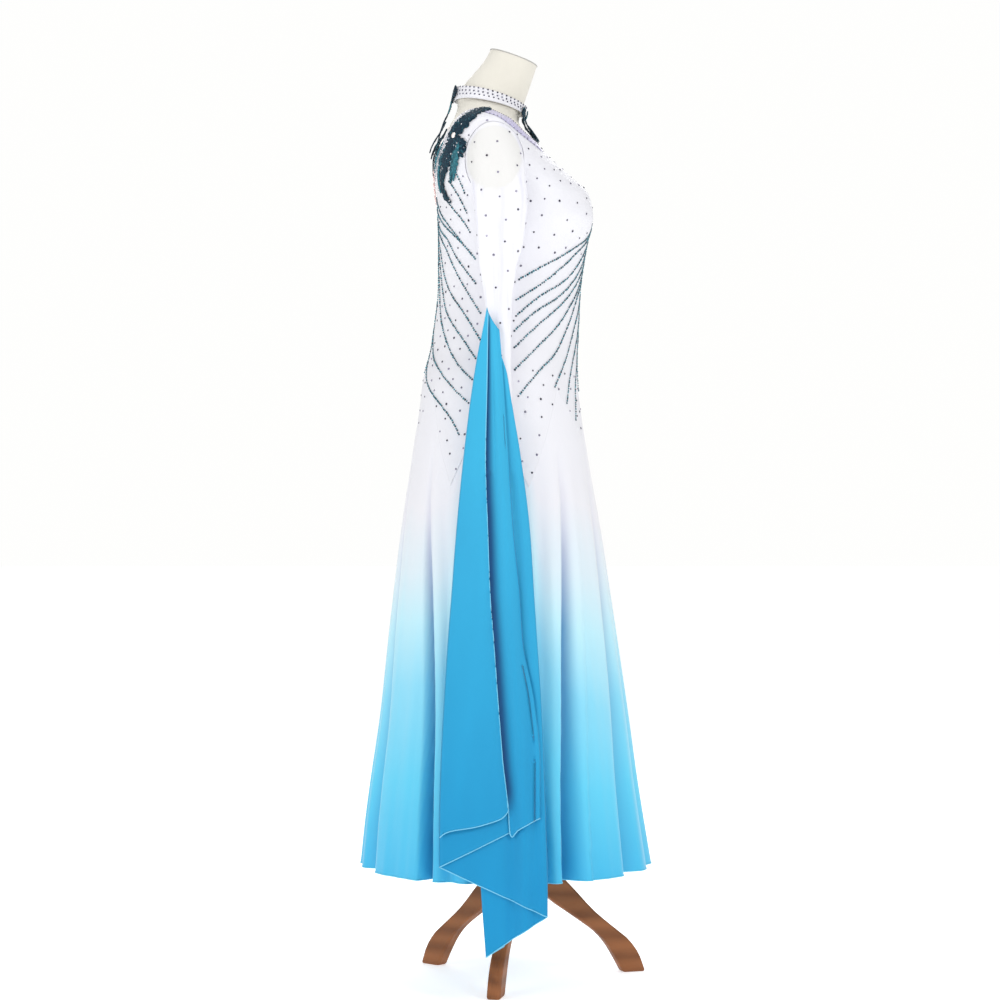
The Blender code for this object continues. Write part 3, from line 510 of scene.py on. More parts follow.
def add_grid(name, columns, rows, place, stuff, flip=False, wrap=False, marks=None):
    """A sheet whose vertex in column i and row j is at place(i, j), with a UV map in metres."""
    points = [[Vector(place(i, j)) for j in range(rows)] for i in range(columns)]
    across = [[0.0] * rows for _ in range(columns)]
    for j in range(rows):
        for i in range(1, columns):
            across[i][j] = across[i - 1][j] + (points[i][j] - points[i - 1][j]).length
        half = across[-1][j] / 2
        for i in range(columns):
            across[i][j] -= half
    middle = columns // 2
    along = [0.0]
    for j in range(1, rows):
        along.append(along[-1] + (points[middle][j] - points[middle][j - 1]).length)
    uv = [(across[i][j], along[j]) for i in range(columns) for j in range(rows)]
    shown = columns - 1 if wrap else columns
    faces = []
    for i in range(columns - 1):
        k = (i + 1) % shown
        for j in range(rows - 1):
            face = (i * rows + j, k * rows + j, k * rows + j + 1, i * rows + j + 1)
            faces.append(face[::-1] if flip else face)
    vertices = [points[i][j] for i in range(shown) for j in range(rows)]
    attributes = {
        label: [value(i, j) for i in range(shown) for j in range(rows)]
        for label, value in (marks or {}).items()
    }
    obj = add_mesh(name, vertices, faces, stuff, uv, attributes)
    width = max(across[-1][j] - across[0][j] for j in range(rows))
    obj["cut"] = (width, along[-1])
    return obj


def thicken(obj, thickness, offset=-1.0):
    modifier = obj.modifiers.new("Cloth thickness", "SOLIDIFY")
    modifier.thickness = thickness
    modifier.offset = offset


def declare_sheet(obj):
    """Removes the piece's stored flat cut again."""
    del obj["cut"]


def add_tube(name, path, radius, stuff, sides=6, closed=False):
    """A thin round strand along a line of points."""
    vertices, faces = [], []
    count = len(path)
    for n, point in enumerate(path):
        before = path[n - 1] if n or closed else point
        after = path[(n + 1) % count] if n < count - 1 or closed else point
        ahead = (after - before).normalized()
        side = ahead.cross(Vector((0, 0, 1)))
        if side.length < 0.1:
            side = ahead.cross(Vector((0, 1, 0)))
        side.normalize()
        over = side.cross(ahead)
        for k in range(sides):
            turn = 2 * math.pi * k / sides
            vertices.append(point + radius * (math.cos(turn) * side + math.sin(turn) * over))
    for n in range(count if closed else count - 1):
        m = (n + 1) % count
        for k in range(sides):
            k2 = (k + 1) % sides
            faces.append((n * sides + k, n * sides + k2, m * sides + k2, m * sides + k))
    if not closed:
        faces.append(tuple(reversed(range(sides))))
        faces.append(tuple(range((count - 1) * sides, count * sides)))
    return add_mesh(name, vertices, [face[::-1] for face in faces], stuff)


def ring_solid(profile, sides):
    """Vertices and faces of a small turned solid from (radius, height) pairs, closed at both ends."""
    vertices = [
        Vector((r * math.cos(2 * math.pi * k / sides), r * math.sin(2 * math.pi * k / sides), h))
        for r, h in profile for k in range(sides)
    ]
    faces = [tuple(reversed(range(sides)))]
    for n in range(len(profile) - 1):
        for k in range(sides):
            k2 = (k + 1) % sides
            faces.append((n * sides + k, n * sides + k2, (n + 1) * sides + k2, (n + 1) * sides + k))
    faces.append(tuple(range((len(profile) - 1) * sides, len(profile) * sides)))
    return vertices, faces


GEM = ring_solid(((0.75, 0.0), (1.0, 0.25), (0.62, 0.62)), 6)
BEAD = ring_solid(((0.55, 0.0), (1.0, 0.5), (0.55, 1.0)), 6)
SEQUIN = ring_solid(((1.0, 0.0), (0.55, 0.14)), 6)
CRYSTAL = ring_solid(((0.8, 0.0), (1.0, 0.2), (0.8, 0.5), (0.45, 0.68)), 8)

Placing = namedtuple("Placing", "point normal spin size tint")


def add_scatter(name, shape, placings, stuff, sharp=25):
    """One mesh of many small copies of a shape, each with its own tint."""
    base, base_faces = shape
    vertices, faces, tints = [], [], []
    for placing in placings:
        turn = placing.normal.to_track_quat("Z", "Y").to_matrix() @ Matrix.Rotation(placing.spin, 3, "Z")
        start = len(vertices)
        vertices += [placing.point + turn @ (v * placing.size) for v in base]
        faces += [tuple(start + k for k in face) for face in base_faces]
        tints += [placing.tint] * len(base)
    return add_mesh(name, vertices, faces, stuff, attributes={"tint": tints}, sharp=sharp)


def mirrored(placings):
    """The same placings on the wearer's other side."""
    flip = Vector((-1, 1, 1))
    return [p._replace(point=p.point * flip, normal=p.normal * flip, spin=-p.spin) for p in placings]


def keep(obj, slot_name, *nodes):
    """Gives a finished piece its body and hides the CAD nodes that it stands for; the slot name is not used."""
    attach(obj, "root")
    if nodes:
        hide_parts(*nodes)


def sizes():
    return bpy.context.scene.dance_dress_sizes


def colours():
    return bpy.context.scene.dance_dress_colours


# ---------------------------------------------------------------- materials


THREAD_DEPTH = 0.0002


class Finish:
    """A new node material and short ways to add to it."""

    def __init__(self, name, colour, roughness, **fixed):
        self.material = bpy.data.materials.new(name)
        self.material.use_nodes = True
        self.material.diffuse_color = (*colour, 1)
        self.tree = self.material.node_tree
        self.shader = self.tree.nodes["Principled BSDF"]
        self.set(self.shader, {"Base Color": (*colour, 1), "Roughness": roughness})
        for key, value in fixed.items():
            self.set(self.shader, {key.replace("_", " "): value})

    def set(self, node, values):
        for key, value in values.items():
            socket = node.inputs[key]
            if isinstance(value, bpy.types.NodeSocket):
                self.tree.links.new(value, socket)
            else:
                socket.default_value = value

    def add(self, kind, values=None, **settings):
        node = self.tree.nodes.new("ShaderNode" + kind)
        for key, value in settings.items():
            setattr(node, key, value)
        self.set(node, values or {})
        return node

    def where(self, kind="Object", scale=(1, 1, 1), turn=(0, 0, 0)):
        place = self.add("TexCoord").outputs[kind]
        return self.add("Mapping", {"Vector": place, "Scale": scale, "Rotation": turn}).outputs["Vector"]

    def noise(self, vector, scale, detail=2.0, roughness=0.5):
        made = self.add("TexNoise", {"Vector": vector, "Scale": scale, "Detail": detail, "Roughness": roughness})
        return made.outputs["Fac"]

    def wave(self, vector, scale, direction):
        made = self.add("TexWave", {"Vector": vector, "Scale": scale}, bands_direction=direction)
        return made.outputs["Fac"]

    def attribute(self, name):
        return self.add("Attribute", attribute_name=name).outputs["Fac"]

    def maths(self, operation, a, b, clamp=False):
        return self.add("Math", {0: a, 1: b}, operation=operation, use_clamp=clamp).outputs[0]

    def span(self, value, low, high, out_low=0.0, out_high=1.0):
        made = self.add("MapRange", {"Value": value, "From Min": low, "From Max": high,
                                     "To Min": out_low, "To Max": out_high})
        return made.outputs["Result"]

    def ramp(self, value, stops):
        node = self.add("ValToRGB", {"Fac": value})
        points = node.color_ramp.elements
        while len(points) < len(stops):
            points.new(0.5)
        for point, (place, colour) in zip(points, stops):
            point.position = place
            point.color = (*colour, 1)
        return node.outputs["Color"]

    def mix(self, share, a, b, blend="MIX"):
        node = self.add("Mix", {"Factor": share}, data_type="RGBA", blend_type=blend)
        for socket, value in ((node.inputs[6], a), (node.inputs[7], b)):
            if isinstance(value, bpy.types.NodeSocket):
                self.tree.links.new(value, socket)
            else:
                socket.default_value = (*value, 1) if len(value) == 3 else value
        return node.outputs[2]

    def colour(self, value):
        self.set(self.shader, {"Base Color": value})

    def bump(self, height, strength, distance):
        node = self.add("Bump", {"Height": height, "Strength": strength, "Distance": distance})
        self.set(self.shader, {"Normal": node.outputs["Normal"]})

    def weave(self, pitch, strength, extra=None):
        """Crossed threads in the cloth's own UV map, which is in metres."""
        place, threads = self.where("UV"), 1 / pitch / math.pi
        warp = self.wave(place, threads, "X")
        weft = self.wave(place, threads, "Y")
        height = self.maths("ADD", warp, weft)
        if extra is not None:
            height = self.maths("ADD", height, extra)
        self.bump(height, strength, THREAD_DEPTH)


def shade(colour, factor):
    return tuple(min(1.0, c * factor) for c in colour)


def white_stretch(name):
    white = colours().bodice_white
    made = Finish(name, white, 0.46, Sheen_Weight=0.25, Sheen_Roughness=0.4)
    place = made.where()
    mottle = made.noise(place, 16, 3)
    made.colour(made.mix(made.span(mottle, 0.35, 0.75), white, shade(white, 0.975)))
    made.weave(0.0009, 0.25, made.noise(place, 420, 2))
    return made.material


def ombre_chiffon():
    look = colours()
    white, pale, sky, deep = look.skirt_white, look.skirt_pale, look.skirt_sky, look.skirt_deep
    made = Finish("ombre_chiffon_cloth", sky, 0.5, Sheen_Weight=0.35, Sheen_Roughness=0.35)
    place = made.where()
    height = made.add("SeparateXYZ", {"Vector": place}).outputs["Z"]
    cloud = made.noise(made.where(scale=(9, 9, 1.6)), 1.0, 3)
    fold = made.attribute("fold")
    drift = made.maths("MULTIPLY", made.maths("SUBTRACT", cloud, 0.5), 0.13)
    level = made.maths("SUBTRACT", made.maths("ADD", height, drift), made.attribute("dye"))
    dyed = made.ramp(made.span(level, 0.20, 0.90), (
        (0.00, deep), (0.22, sky), (0.45, lerp_colour(sky, pale, 0.35)), (0.62, pale),
        (0.75, lerp_colour(pale, white, 0.6)), (0.90, white),
    ))
    # Painted shade in the grooves: deep blue low down and lilac in the white above, mixed in by the fold attribute.
    groove = made.ramp(height, (
        (0.40, look.dyed_groove_shade), (0.62, lerp_colour(look.dyed_groove_shade, look.white_fold_shade, 0.12)),
        (0.80, look.white_fold_shade),
    ))
    shadow = made.maths("MULTIPLY", made.maths("POWER", fold, 1.7), 0.95)
    made.colour(made.mix(shadow, dyed, groove))
    made.weave(0.0008, 0.15, made.noise(place, 260, 2))
    return made.material


def lerp_colour(a, b, s):
    return tuple(lerp(x, y, s) for x, y in zip(a, b))


def float_chiffon():
    blue, low = colours().float_blue, colours().float_low
    made = Finish("float_chiffon_cloth", blue, 0.6, Sheen_Weight=0.1, Sheen_Roughness=0.35, Specular_IOR_Level=0.3)
    place = made.where()
    height = made.add("SeparateXYZ", {"Vector": place}).outputs["Z"]
    cloud = made.noise(made.where(scale=(1, 7, 1.6)), 1.6, 3)
    fallen = made.mix(made.span(height, 0.95, 0.20), blue, low)
    toned = made.mix(made.span(cloud, 0.3, 0.75), fallen, (0.0, 0.12, 0.30), "MULTIPLY")
    toned = made.mix(0.16, fallen, toned)
    # Painted shade: the fold attribute darkens the float's folds towards the groove blue.
    made.colour(made.mix(made.attribute("fold"), toned, colours().float_groove_shade))
    made.weave(0.0008, 0.15, made.noise(place, 260, 2))
    return made.material


def rolled_hem(name, colour):
    made = Finish(name, colour, 0.45, Sheen_Weight=0.3)
    ticks = made.wave(made.where(), 170, "Z")
    made.colour(made.mix(ticks, colour, shade(colour, 0.9)))
    made.bump(ticks, 0.3, 0.0003)
    return made.material


def sheer_mesh():
    white = colours().sleeve_white
    made = Finish("sheer_sleeve_mesh", white, 0.5, Sheen_Weight=0.2)
    holes = made.noise(made.where("UV"), 700, 1)
    # Lilac streaks of painted shade, as in soft folds of the mesh, placed by noise.
    drape = made.noise(made.where(scale=(60, 60, 4.5)), 1.0, 2)
    mesh = made.mix(made.span(holes, 0.35, 0.65), white, shade(white, 0.97))
    fold_shaded_mesh = made.mix(made.span(drape, 0.46, 0.70, 0.0, 0.8), mesh, colours().sleeve_fold_shade)
    made.colour(made.mix(made.attribute("cover"), colours().sleeve_plate, fold_shaded_mesh))
    made.set(made.shader, {"Alpha": made.span(made.attribute("cover"), 0.0, 1.0, 0.88, 1.0)})
    made.weave(0.0011, 0.3)
    return made.material


def lace_thread(name):
    dark, light = colours().teal_dark, colours().teal_light
    made = Finish(name, dark, 0.7, Sheen_Weight=0.04, Specular_IOR_Level=0.25)
    place = made.where()
    satin = made.wave(made.where(turn=(0.6, 0.3, 0.4)), 420, "DIAGONAL")
    fleck = made.noise(place, 320, 2)
    tone = made.maths("ADD", made.attribute("tint"), made.span(fleck, 0.48, 0.8, -0.12, 0.32), clamp=True)
    made.colour(made.mix(tone, dark, light))
    made.bump(made.maths("ADD", satin, fleck), 0.6, 0.0006)
    return made.material


def sparkle(name, dark, light, roughness, metallic, **fixed):
    """Cut stones, beads and sequins: their tint runs from dark, 0, to light, 1."""
    made = Finish(name, dark, roughness, Metallic=metallic, **fixed)
    fleck = made.noise(made.where(), 900, 1)
    tone = made.maths("ADD", made.attribute("tint"), made.span(fleck, 0.3, 0.7, -0.1, 0.1), clamp=True)
    made.colour(made.mix(tone, dark, light))
    return made.material


def sequin_shine(name):
    return sparkle(name, colours().teal_dark, colours().teal_light, 0.3, 0.3, Specular_IOR_Level=0.3)


def form_cover():
    cream = colours().form_cream
    made = Finish("form_cover_cloth", cream, 0.62, Sheen_Weight=0.15)
    place = made.where()
    mottle = made.noise(place, 22, 4)
    made.colour(made.mix(made.span(mottle, 0.3, 0.8), cream, shade(cream, 0.94)))
    made.weave(0.0007, 0.2, made.noise(place, 600, 2))
    return made.material


def wood(name, turn, upright=False):
    """Walnut whose grain runs along a leg that points out at an angle, or up a pole."""
    base, dark = colours().walnut, colours().walnut_dark
    made = Finish(name, base, 0.5, Specular_IOR_Level=0.25)
    along = made.where(turn=(0, 0, -math.radians(turn)))
    stretch = (70, 70, 5) if upright else (6, 90, 26)
    place = made.add("Mapping", {"Vector": along, "Scale": stretch}).outputs["Vector"]
    rings = made.noise(place, 1.1, 5, 0.6)
    fine = made.add("Mapping", {"Vector": place, "Scale": (3.0, 4.0, 3.5)}).outputs["Vector"]
    pores = made.noise(fine, 1.0, 2)
    lines = made.add("TexWave", {"Vector": place, "Scale": 0.35, "Distortion": 4.0, "Detail": 3.0},
                     bands_direction="X" if upright else "Z").outputs["Fac"]
    tone = made.maths("ADD", made.maths("MULTIPLY", rings, 0.7), made.maths("MULTIPLY", lines, 0.35))
    grain = made.ramp(tone, ((0.15, dark), (0.5, base), (0.85, shade(base, 1.35))))
    made.colour(made.mix(made.span(pores, 0.66, 0.78, 0.0, 0.45), grain, dark))
    made.set(made.shader, {"Roughness": made.span(pores, 0.3, 0.7, 0.45, 0.6)})
    made.bump(made.maths("ADD", rings, pores), 0.2, 0.0005)
    return made.material


# ---------------------------------------------------------------- settings


def length_property(name, description, default, low, high):
    return bpy.props.FloatProperty(name=name, description=description, default=default, min=low, max=high,
                                   unit="LENGTH", subtype="DISTANCE", precision=4)


def colour_property(name, description, default):
    return bpy.props.FloatVectorProperty(name=name, description=description, default=default, size=3,
                                         min=0.0, max=1.0, subtype="COLOR")


class DanceDressSizes(bpy.types.PropertyGroup):
    cloth_thickness: length_property("Cloth thickness", "Wall of the bodice and skirt cloth", 0.0011, 0.0005, 0.003)
    sheer_thickness: length_property("Sheer thickness", "Wall of the sleeve mesh", 0.0008, 0.0004, 0.002)
    hem_cord: length_property("Hem cord", "Radius of a rolled hem", 0.0010, 0.0004, 0.003)
    bead_radius: length_property("Bead radius", "Half the width of a bead in the lines", 0.0019, 0.0008, 0.004)
    bead_pitch: length_property("Bead pitch", "From one bead to the next along a line", 0.0042, 0.002, 0.02)
    stone_radius: length_property("Stone radius", "Half the width of a scattered stone", 0.0022, 0.0008, 0.005)
    stone_spacing: length_property("Stone spacing", "Least distance between scattered stones", 0.0235, 0.01, 0.08)
    sequin_radius: length_property("Sequin radius", "Half the width of a sequin", 0.0017, 0.0008, 0.005)


class DanceDressColours(bpy.types.PropertyGroup):
    bodice_white: colour_property("Bodice white", "Stretch cloth of the bodice", (0.83, 0.83, 0.88))
    sleeve_white: colour_property("Sleeve white", "Sheer mesh of the sleeves", (0.90, 0.90, 0.955))
    # Painted shade in the sleeve's folds.
    sleeve_fold_shade: colour_property("Sleeve lilac", "Depth of a sleeve fold", (0.74, 0.74, 0.86))
    sleeve_plate: colour_property("Sleeve over plate", "Single mesh over the arm plate", (0.90, 0.895, 0.885))
    skirt_white: colour_property("Skirt white", "Top of the dyed skirt", (0.83, 0.83, 0.88))
    skirt_pale: colour_property("Skirt pale blue", "Where the dye starts", (0.50, 0.82, 0.93))
    skirt_sky: colour_property("Skirt sky blue", "Middle of the dye", (0.11, 0.62, 0.88))
    skirt_deep: colour_property("Skirt deep blue", "Dye at the hem", (0.045, 0.49, 0.80))
    # Painted shade in the float's folds.
    float_groove_shade: colour_property("Groove blue", "Depth of a fold of the float", (0.000, 0.062, 0.20))
    # Painted shade in the folds of the white cloth and of the dyed skirt.
    white_fold_shade: colour_property("Groove lilac", "Depth of a white fold", (0.55, 0.56, 0.70))
    dyed_groove_shade: colour_property("Skirt groove blue", "Depth of a dyed fold", (0.010, 0.21, 0.46))
    float_blue: colour_property("Float blue", "Chiffon of the arm floats at the top", (0.038, 0.45, 0.73))
    float_low: colour_property("Float low blue", "Chiffon of the arm floats at the hem", (0.003, 0.285, 0.58))
    hem_blue: colour_property("Hem blue", "Rolled hems of the floats", (0.16, 0.60, 0.86))
    # Painted shade on the neckline's upturned edge.
    neckline_shade_colour: colour_property("Strip lilac", "Strip along the front neckline", (0.50, 0.47, 0.67))
    teal_dark: colour_property("Dark teal", "Lace leaves", (0.001, 0.022, 0.045))
    teal_light: colour_property("Turquoise", "Lights in lace and beads", (0.07, 0.36, 0.44))
    stone_dark: colour_property("Stone dark", "Scattered stones", (0.025, 0.022, 0.045))
    stone_light: colour_property("Stone light", "Lights in the stones", (0.36, 0.34, 0.45))
    form_cream: colour_property("Form cream", "Cover of the dress form", (0.79, 0.76, 0.68))
    cap_grey: colour_property("Neck cap grey", "Rim of the neck cap", (0.42, 0.41, 0.39))
    walnut: colour_property("Walnut", "Wood of the stand", (0.27, 0.100, 0.037))
    walnut_dark: colour_property("Walnut dark", "Grain of the wood", (0.15, 0.052, 0.020))


# ---------------------------------------------------------------- bodice


def share_steps(side):
    """Column shares from the centre line, 0, to the side seam, 1, with the waist seam's corners."""
    if side < 0:
        marks = [p.angle / SIDE_ANGLE for p in WAIST_SEAM if p.angle <= SIDE_ANGLE]
    else:
        marks = [(180 - p.angle) / (180 - SIDE_ANGLE) for p in reversed(WAIST_SEAM) if p.angle >= SIDE_ANGLE]
    half = [0.0]
    for a, b in zip(marks, marks[1:]):
        count = max(2, round((b - a) / SHARE_STEP))
        half += [lerp(a, b, n / count) for n in range(1, count + 1)]
    half.insert(-1, 1 - RIM_SHARE)
    return half


SHARE_STEP = 0.0165
RIM_SHARE = 0.0015
BODICE_RISES = (
    [0, RIM_SHARE] + [n / 30 for n in range(1, 30)] + [1 + n / 62 for n in range(62)]
    + [2 + n / 60 for n in range(60)] + [3 - RIM_SHARE, 3]
)
# In front, -1, and behind, 1: the rise up to which the halves are one.
NECK_SPLITS = {-1: 2.4, 1: 2.2}


class DRESS_OT_bodice(bpy.types.Operator):
    """The stretch bodice's front and back, with small drag folds at the waist"""

    bl_idname = "dance_dress.bodice"
    bl_label = "Bodice"

    def execute(self, context):
        cloth = white_stretch("white_stretch_cloth")
        self.make_panel("bodice_front", -1, cloth)
        self.make_panel("bodice_back", 1, cloth)
        return {"FINISHED"}

    def make_panel(self, node, side, cloth):
        """Both halves of one panel share the centre line up to the neckline and part above it."""
        columns = share_steps(side)
        centre = 0 if side < 0 else 180
        vertices, faces, uv = [], [], []
        ids = {}

        def shared(i, j):
            return i == 0 and BODICE_RISES[j] <= NECK_SPLITS[side] + 1e-6

        def key(i, j, flip):
            return i, j, 1 if shared(i, j) else flip

        for flip in (1, -1):
            for i, share in enumerate(columns):
                for j, rise in enumerate(BODICE_RISES):
                    if key(i, j, flip) in ids:
                        continue
                    angle, z = bodice_place(share, rise, side)
                    point = on_cloth(angle * flip, z)
                    if shared(i, j):
                        point.x = 0.0
                    ids[key(i, j, flip)] = len(vertices)
                    vertices.append(point)
                    half = DRESS_CURVES["half"].at(min(z, 1.45))
                    uv.append((flip * half * math.radians(angle - centre), z))
        for flip in (1, -1):
            outwards = (flip > 0) == (side > 0)
            for i in range(len(columns) - 1):
                for j in range(len(BODICE_RISES) - 1):
                    corners = ((i, j), (i + 1, j), (i + 1, j + 1), (i, j + 1))
                    face = tuple(ids[key(*corner, flip)] for corner in corners)
                    faces.append(face if outwards else face[::-1])
        obj = add_mesh(node + "_cloth", vertices, faces, cloth, uv)
        thicken(obj, sizes().cloth_thickness)
        keep(obj, "white_stretch", node)


# ---------------------------------------------------------------- skirt


FLUTE_LEAN = 11.0
LEAN_RISE = 0.50
# How much fuller the dress hangs behind than the body's table, against height.
BACK_SWELL = Curve((0.20, 0.30, 0.58, 0.75, 0.90), (0.001, 0.0045, 0.0065, 0.0040, 0.0))


def flute_swing(angle, z):
    """Depth at the hem of the flute that passes this place; flutes lean towards the side lower down."""
    around = math.radians(angle)
    x, y = math.sin(around), math.cos(around)
    wander = 1.2 * smooth(0.85, 0.45, z) * waver(1.7 * x, 1.7 * y, 2.4 * z)
    main = abs(turned(angle + wander))
    climb = min(1.35, ((z - HEM_HEIGHT) / LEAN_RISE) ** 1.2) if z > HEM_HEIGHT else 0.0
    main -= FLUTE_LEAN * climb * math.sin(math.radians(2 * (main - 90)))
    i = min(max(bisect_right([f.angle for f in FLUTES], main) - 1, 0), len(FLUTES) - 2)
    a, b = FLUTES[i], FLUTES[i + 1]
    swing = (1 - math.cos(math.pi * (main - a.angle) / (b.angle - a.angle))) / 2
    if a.depth > b.depth:
        swing = 1 - swing
    return max(a.depth, b.depth) * swing**1.5


def flute_depth(angle, z):
    """How far the skirt sinks inside its ridges at this place."""
    drop = max(0.0, (FLUTE_TOP - z) / (FLUTE_TOP - HEM_HEIGHT))
    around = math.radians(angle)
    x, y = math.sin(around), math.cos(around)
    ripple = 0.5 + 0.5 * waver(9.5 * x, 9.5 * y, 1.3 * z)
    fine = 0.5 + 0.5 * waver(19 * x + 3, 19 * y, 2.1 * z)
    small = (0.0085 * ripple + 0.0030 * fine) * (0.15 + 0.85 * abs(x))
    return flute_swing(angle, z) * drop**FLUTE_GROWTH + small * drop**0.8


def flute_shade(angle, z):
    """How much painted shade a skirt groove gets, from 0 to 1: dark well above where it gets deep."""
    return min(1.0, flute_swing(angle, z) / DEEPEST_FLUTE) * smooth(0.98, 0.72, z)


def dye_lift(angle):
    """How much higher than the mean the white reaches on the ridges beside the float."""
    angle = abs(turned(angle))
    lift = 0.15 * math.exp(-(((angle - 79) / 9) ** 2)) + 0.09 * math.exp(-(((angle - 111) / 8) ** 2))
    return lift - 0.03 * math.exp(-((angle / 38) ** 2))


def skirt_point(angle, z):
    point = body_point(angle, z)
    middle = Vector((0, (DRESS_CURVES["front"].at(z) + DRESS_CURVES["back"].at(z)) / 2, z))
    swell = BACK_SWELL.at(z) * smooth(-0.3, -1.0, math.cos(math.radians(angle)))
    return point + (middle - point).normalized() * (flute_depth(angle, z) - swell)


def gore_columns(start, end):
    """Angles across a gore, with the corners of its top seam among them."""
    corners = {p.angle for p in WAIST_SEAM}
    corners |= {-c for c in corners} | {360 - c for c in corners}
    marks = [start, *sorted(c for c in corners if start + 0.5 < c < end - 0.5), end]
    columns = [start]
    for a, b in zip(marks, marks[1:]):
        count = max(2, math.ceil((b - a) / GORE_STEP))
        columns += [lerp(a, b, n / count) for n in range(1, count + 1)]
    return [start, start + RIM_ANGLE, *columns[1:-1], end - RIM_ANGLE, end]


GORE_STEP = 1.0
RIM_ANGLE = 0.05
SEAM_CREASE = 0.0004
GORE_RISES = [0.0, 0.0004, *(n / 109 for n in range(1, 109)), 0.9996, 1.0]


class DRESS_OT_skirt(bpy.types.Operator):
    """The eight dyed gores, their rolled hem and the cord in the seam above them"""

    bl_idname = "dance_dress.skirt"
    bl_label = "Skirt"

    def execute(self, context):
        cloth = ombre_chiffon()
        front, fore, aft, back = GORE_EDGES
        gores = [("skirt_front", -front, front), ("skirt_back", back, 360 - back)]
        for side, sign in (("right", 1), ("left", -1)):
            for part, low, high in (("side_front", front, fore), ("side", fore, aft), ("side_back", aft, back)):
                gores.append((f"skirt_{part}_{side}", *sorted((sign * low, sign * high))))
        for name, start, end in gores:
            self.make_gore(name, start, end, cloth)
        self.make_trim()
        return {"FINISHED"}

    def make_gore(self, name, start, end, cloth):
        columns = gore_columns(start, end)

        def height(i, j):
            return lerp(HEM_HEIGHT, seam_height(columns[i]) - SEAM_CREASE * 0.4, GORE_RISES[j])

        def place(i, j):
            angle, z = columns[i], height(i, j)
            return skirt_point(angle, z) + outward(body_point, angle, z) * cloth_rise(angle, z)

        # Painted shade for the grooves, which the skirt's finish mixes in.
        def fold(i, j):
            return flute_shade(columns[i], height(i, j))

        def dye(i, j):
            return dye_lift(columns[i])

        obj = add_grid(name + "_gore", len(columns), len(GORE_RISES), place, cloth, flip=True,
                       marks={"fold": fold, "dye": dye})
        thicken(obj, sizes().cloth_thickness * 0.8)
        keep(obj, "ombre_chiffon", name)
        declare_sheet(obj)

    def make_trim(self):
        radius = sizes().hem_cord
        hem = [skirt_point(n / 2, HEM_HEIGHT + radius) for n in range(720)]
        edge = add_tube("skirt_rolled_hem", hem, radius, rolled_hem("skirt_hem_thread", colours().skirt_sky), 6, True)
        keep(edge, "ombre_chiffon")
        seam = [on_cloth(a, seam_height(a), -0.0003) for a in gore_columns(-180, 180)[:-1]]
        thread = rolled_hem("seam_thread", colours().bodice_white)
        cord = add_tube("skirt_seam_cord", seam, radius * 0.45, thread, 6, True)
        keep(cord, "white_stretch")


# ---------------------------------------------------------------- sleeves


def sleeve_ring(turn, z):
    """A point of the hanging sleeve on the right; turn 90 is the arm's outer side."""
    x, half_x, y, half_y = (SLEEVE_CURVES[name].at(z) for name in ("x", "half_x", "y", "half_y"))
    sine, cosine = math.sin(math.radians(turn)), math.cos(math.radians(turn))
    wide = 0.5 + 0.5 * waver(1.9 * sine, 1.9 * cosine + 5, 8 * z)
    pleat = 0.5 + 0.5 * waver(5.5 * sine, 5.5 * cosine, 4 * z)
    crease = 0.5 + 0.5 * waver(1.6 * sine, 1.6 * cosine, 46 * z)
    elbow = math.exp(-(((z - 1.10) / 0.07) ** 2))
    sink = (0.0007 * wide + 0.0012 * pleat + 0.0016 * crease * elbow) * smooth(1.330, 1.27, z)
    shrink_x, shrink_y = 1 - sink / half_x, 1 - sink / half_y
    return Vector((-(x + half_x * shrink_x * sine), y - half_y * shrink_y * cosine, z))


def sleeve_cap(turn, s):
    """From the armhole's edge, at 0, out and over to the top of the hanging sleeve, at 1."""
    cosine, sine = math.cos(math.radians(turn)), math.sin(math.radians(turn))
    side = -1 if cosine > 0 else 1
    climb = math.degrees(math.asin(max(-1.0, min(1.0, sine))))
    edge = on_cloth(*armhole_angle(climb, side))
    start = Vector((
        edge.x,
        ARMHOLE.y - (ARMHOLE.half_y - SLEEVE_INSET) * cosine,
        ARMHOLE.z + (ARMHOLE.half_z - SLEEVE_INSET) * sine,
    ))
    end = sleeve_ring(turn, SLEEVE[0].z)
    reach = (end - start).length
    leave, arrive = Vector((-0.55 * reach, 0, 0)), Vector((0, 0, -0.95 * reach))
    return (
        (1 + 2 * s) * (1 - s) ** 2 * start + s * s * (3 - 2 * s) * end
        + s * (1 - s) ** 2 * leave + s * s * (s - 1) * arrive
    )


PLATE = Armhole(0.0207, 1.4106, 0.0457, 0.0565)
SLEEVE_CAP_STEPS = 26
SLEEVE_DOWN_STEPS = 110
SLEEVE_SIDES = 72


def sleeve_point(turn, row):
    """Row 0 is at the armhole, SLEEVE_CAP_STEPS where the arm starts to hang, and the last at the cuff."""
    if row < SLEEVE_CAP_STEPS:
        return sleeve_cap(turn, row / SLEEVE_CAP_STEPS)
    return sleeve_ring(turn, lerp(SLEEVE[0].z, SLEEVE[-1].z, (row - SLEEVE_CAP_STEPS) / SLEEVE_DOWN_STEPS))


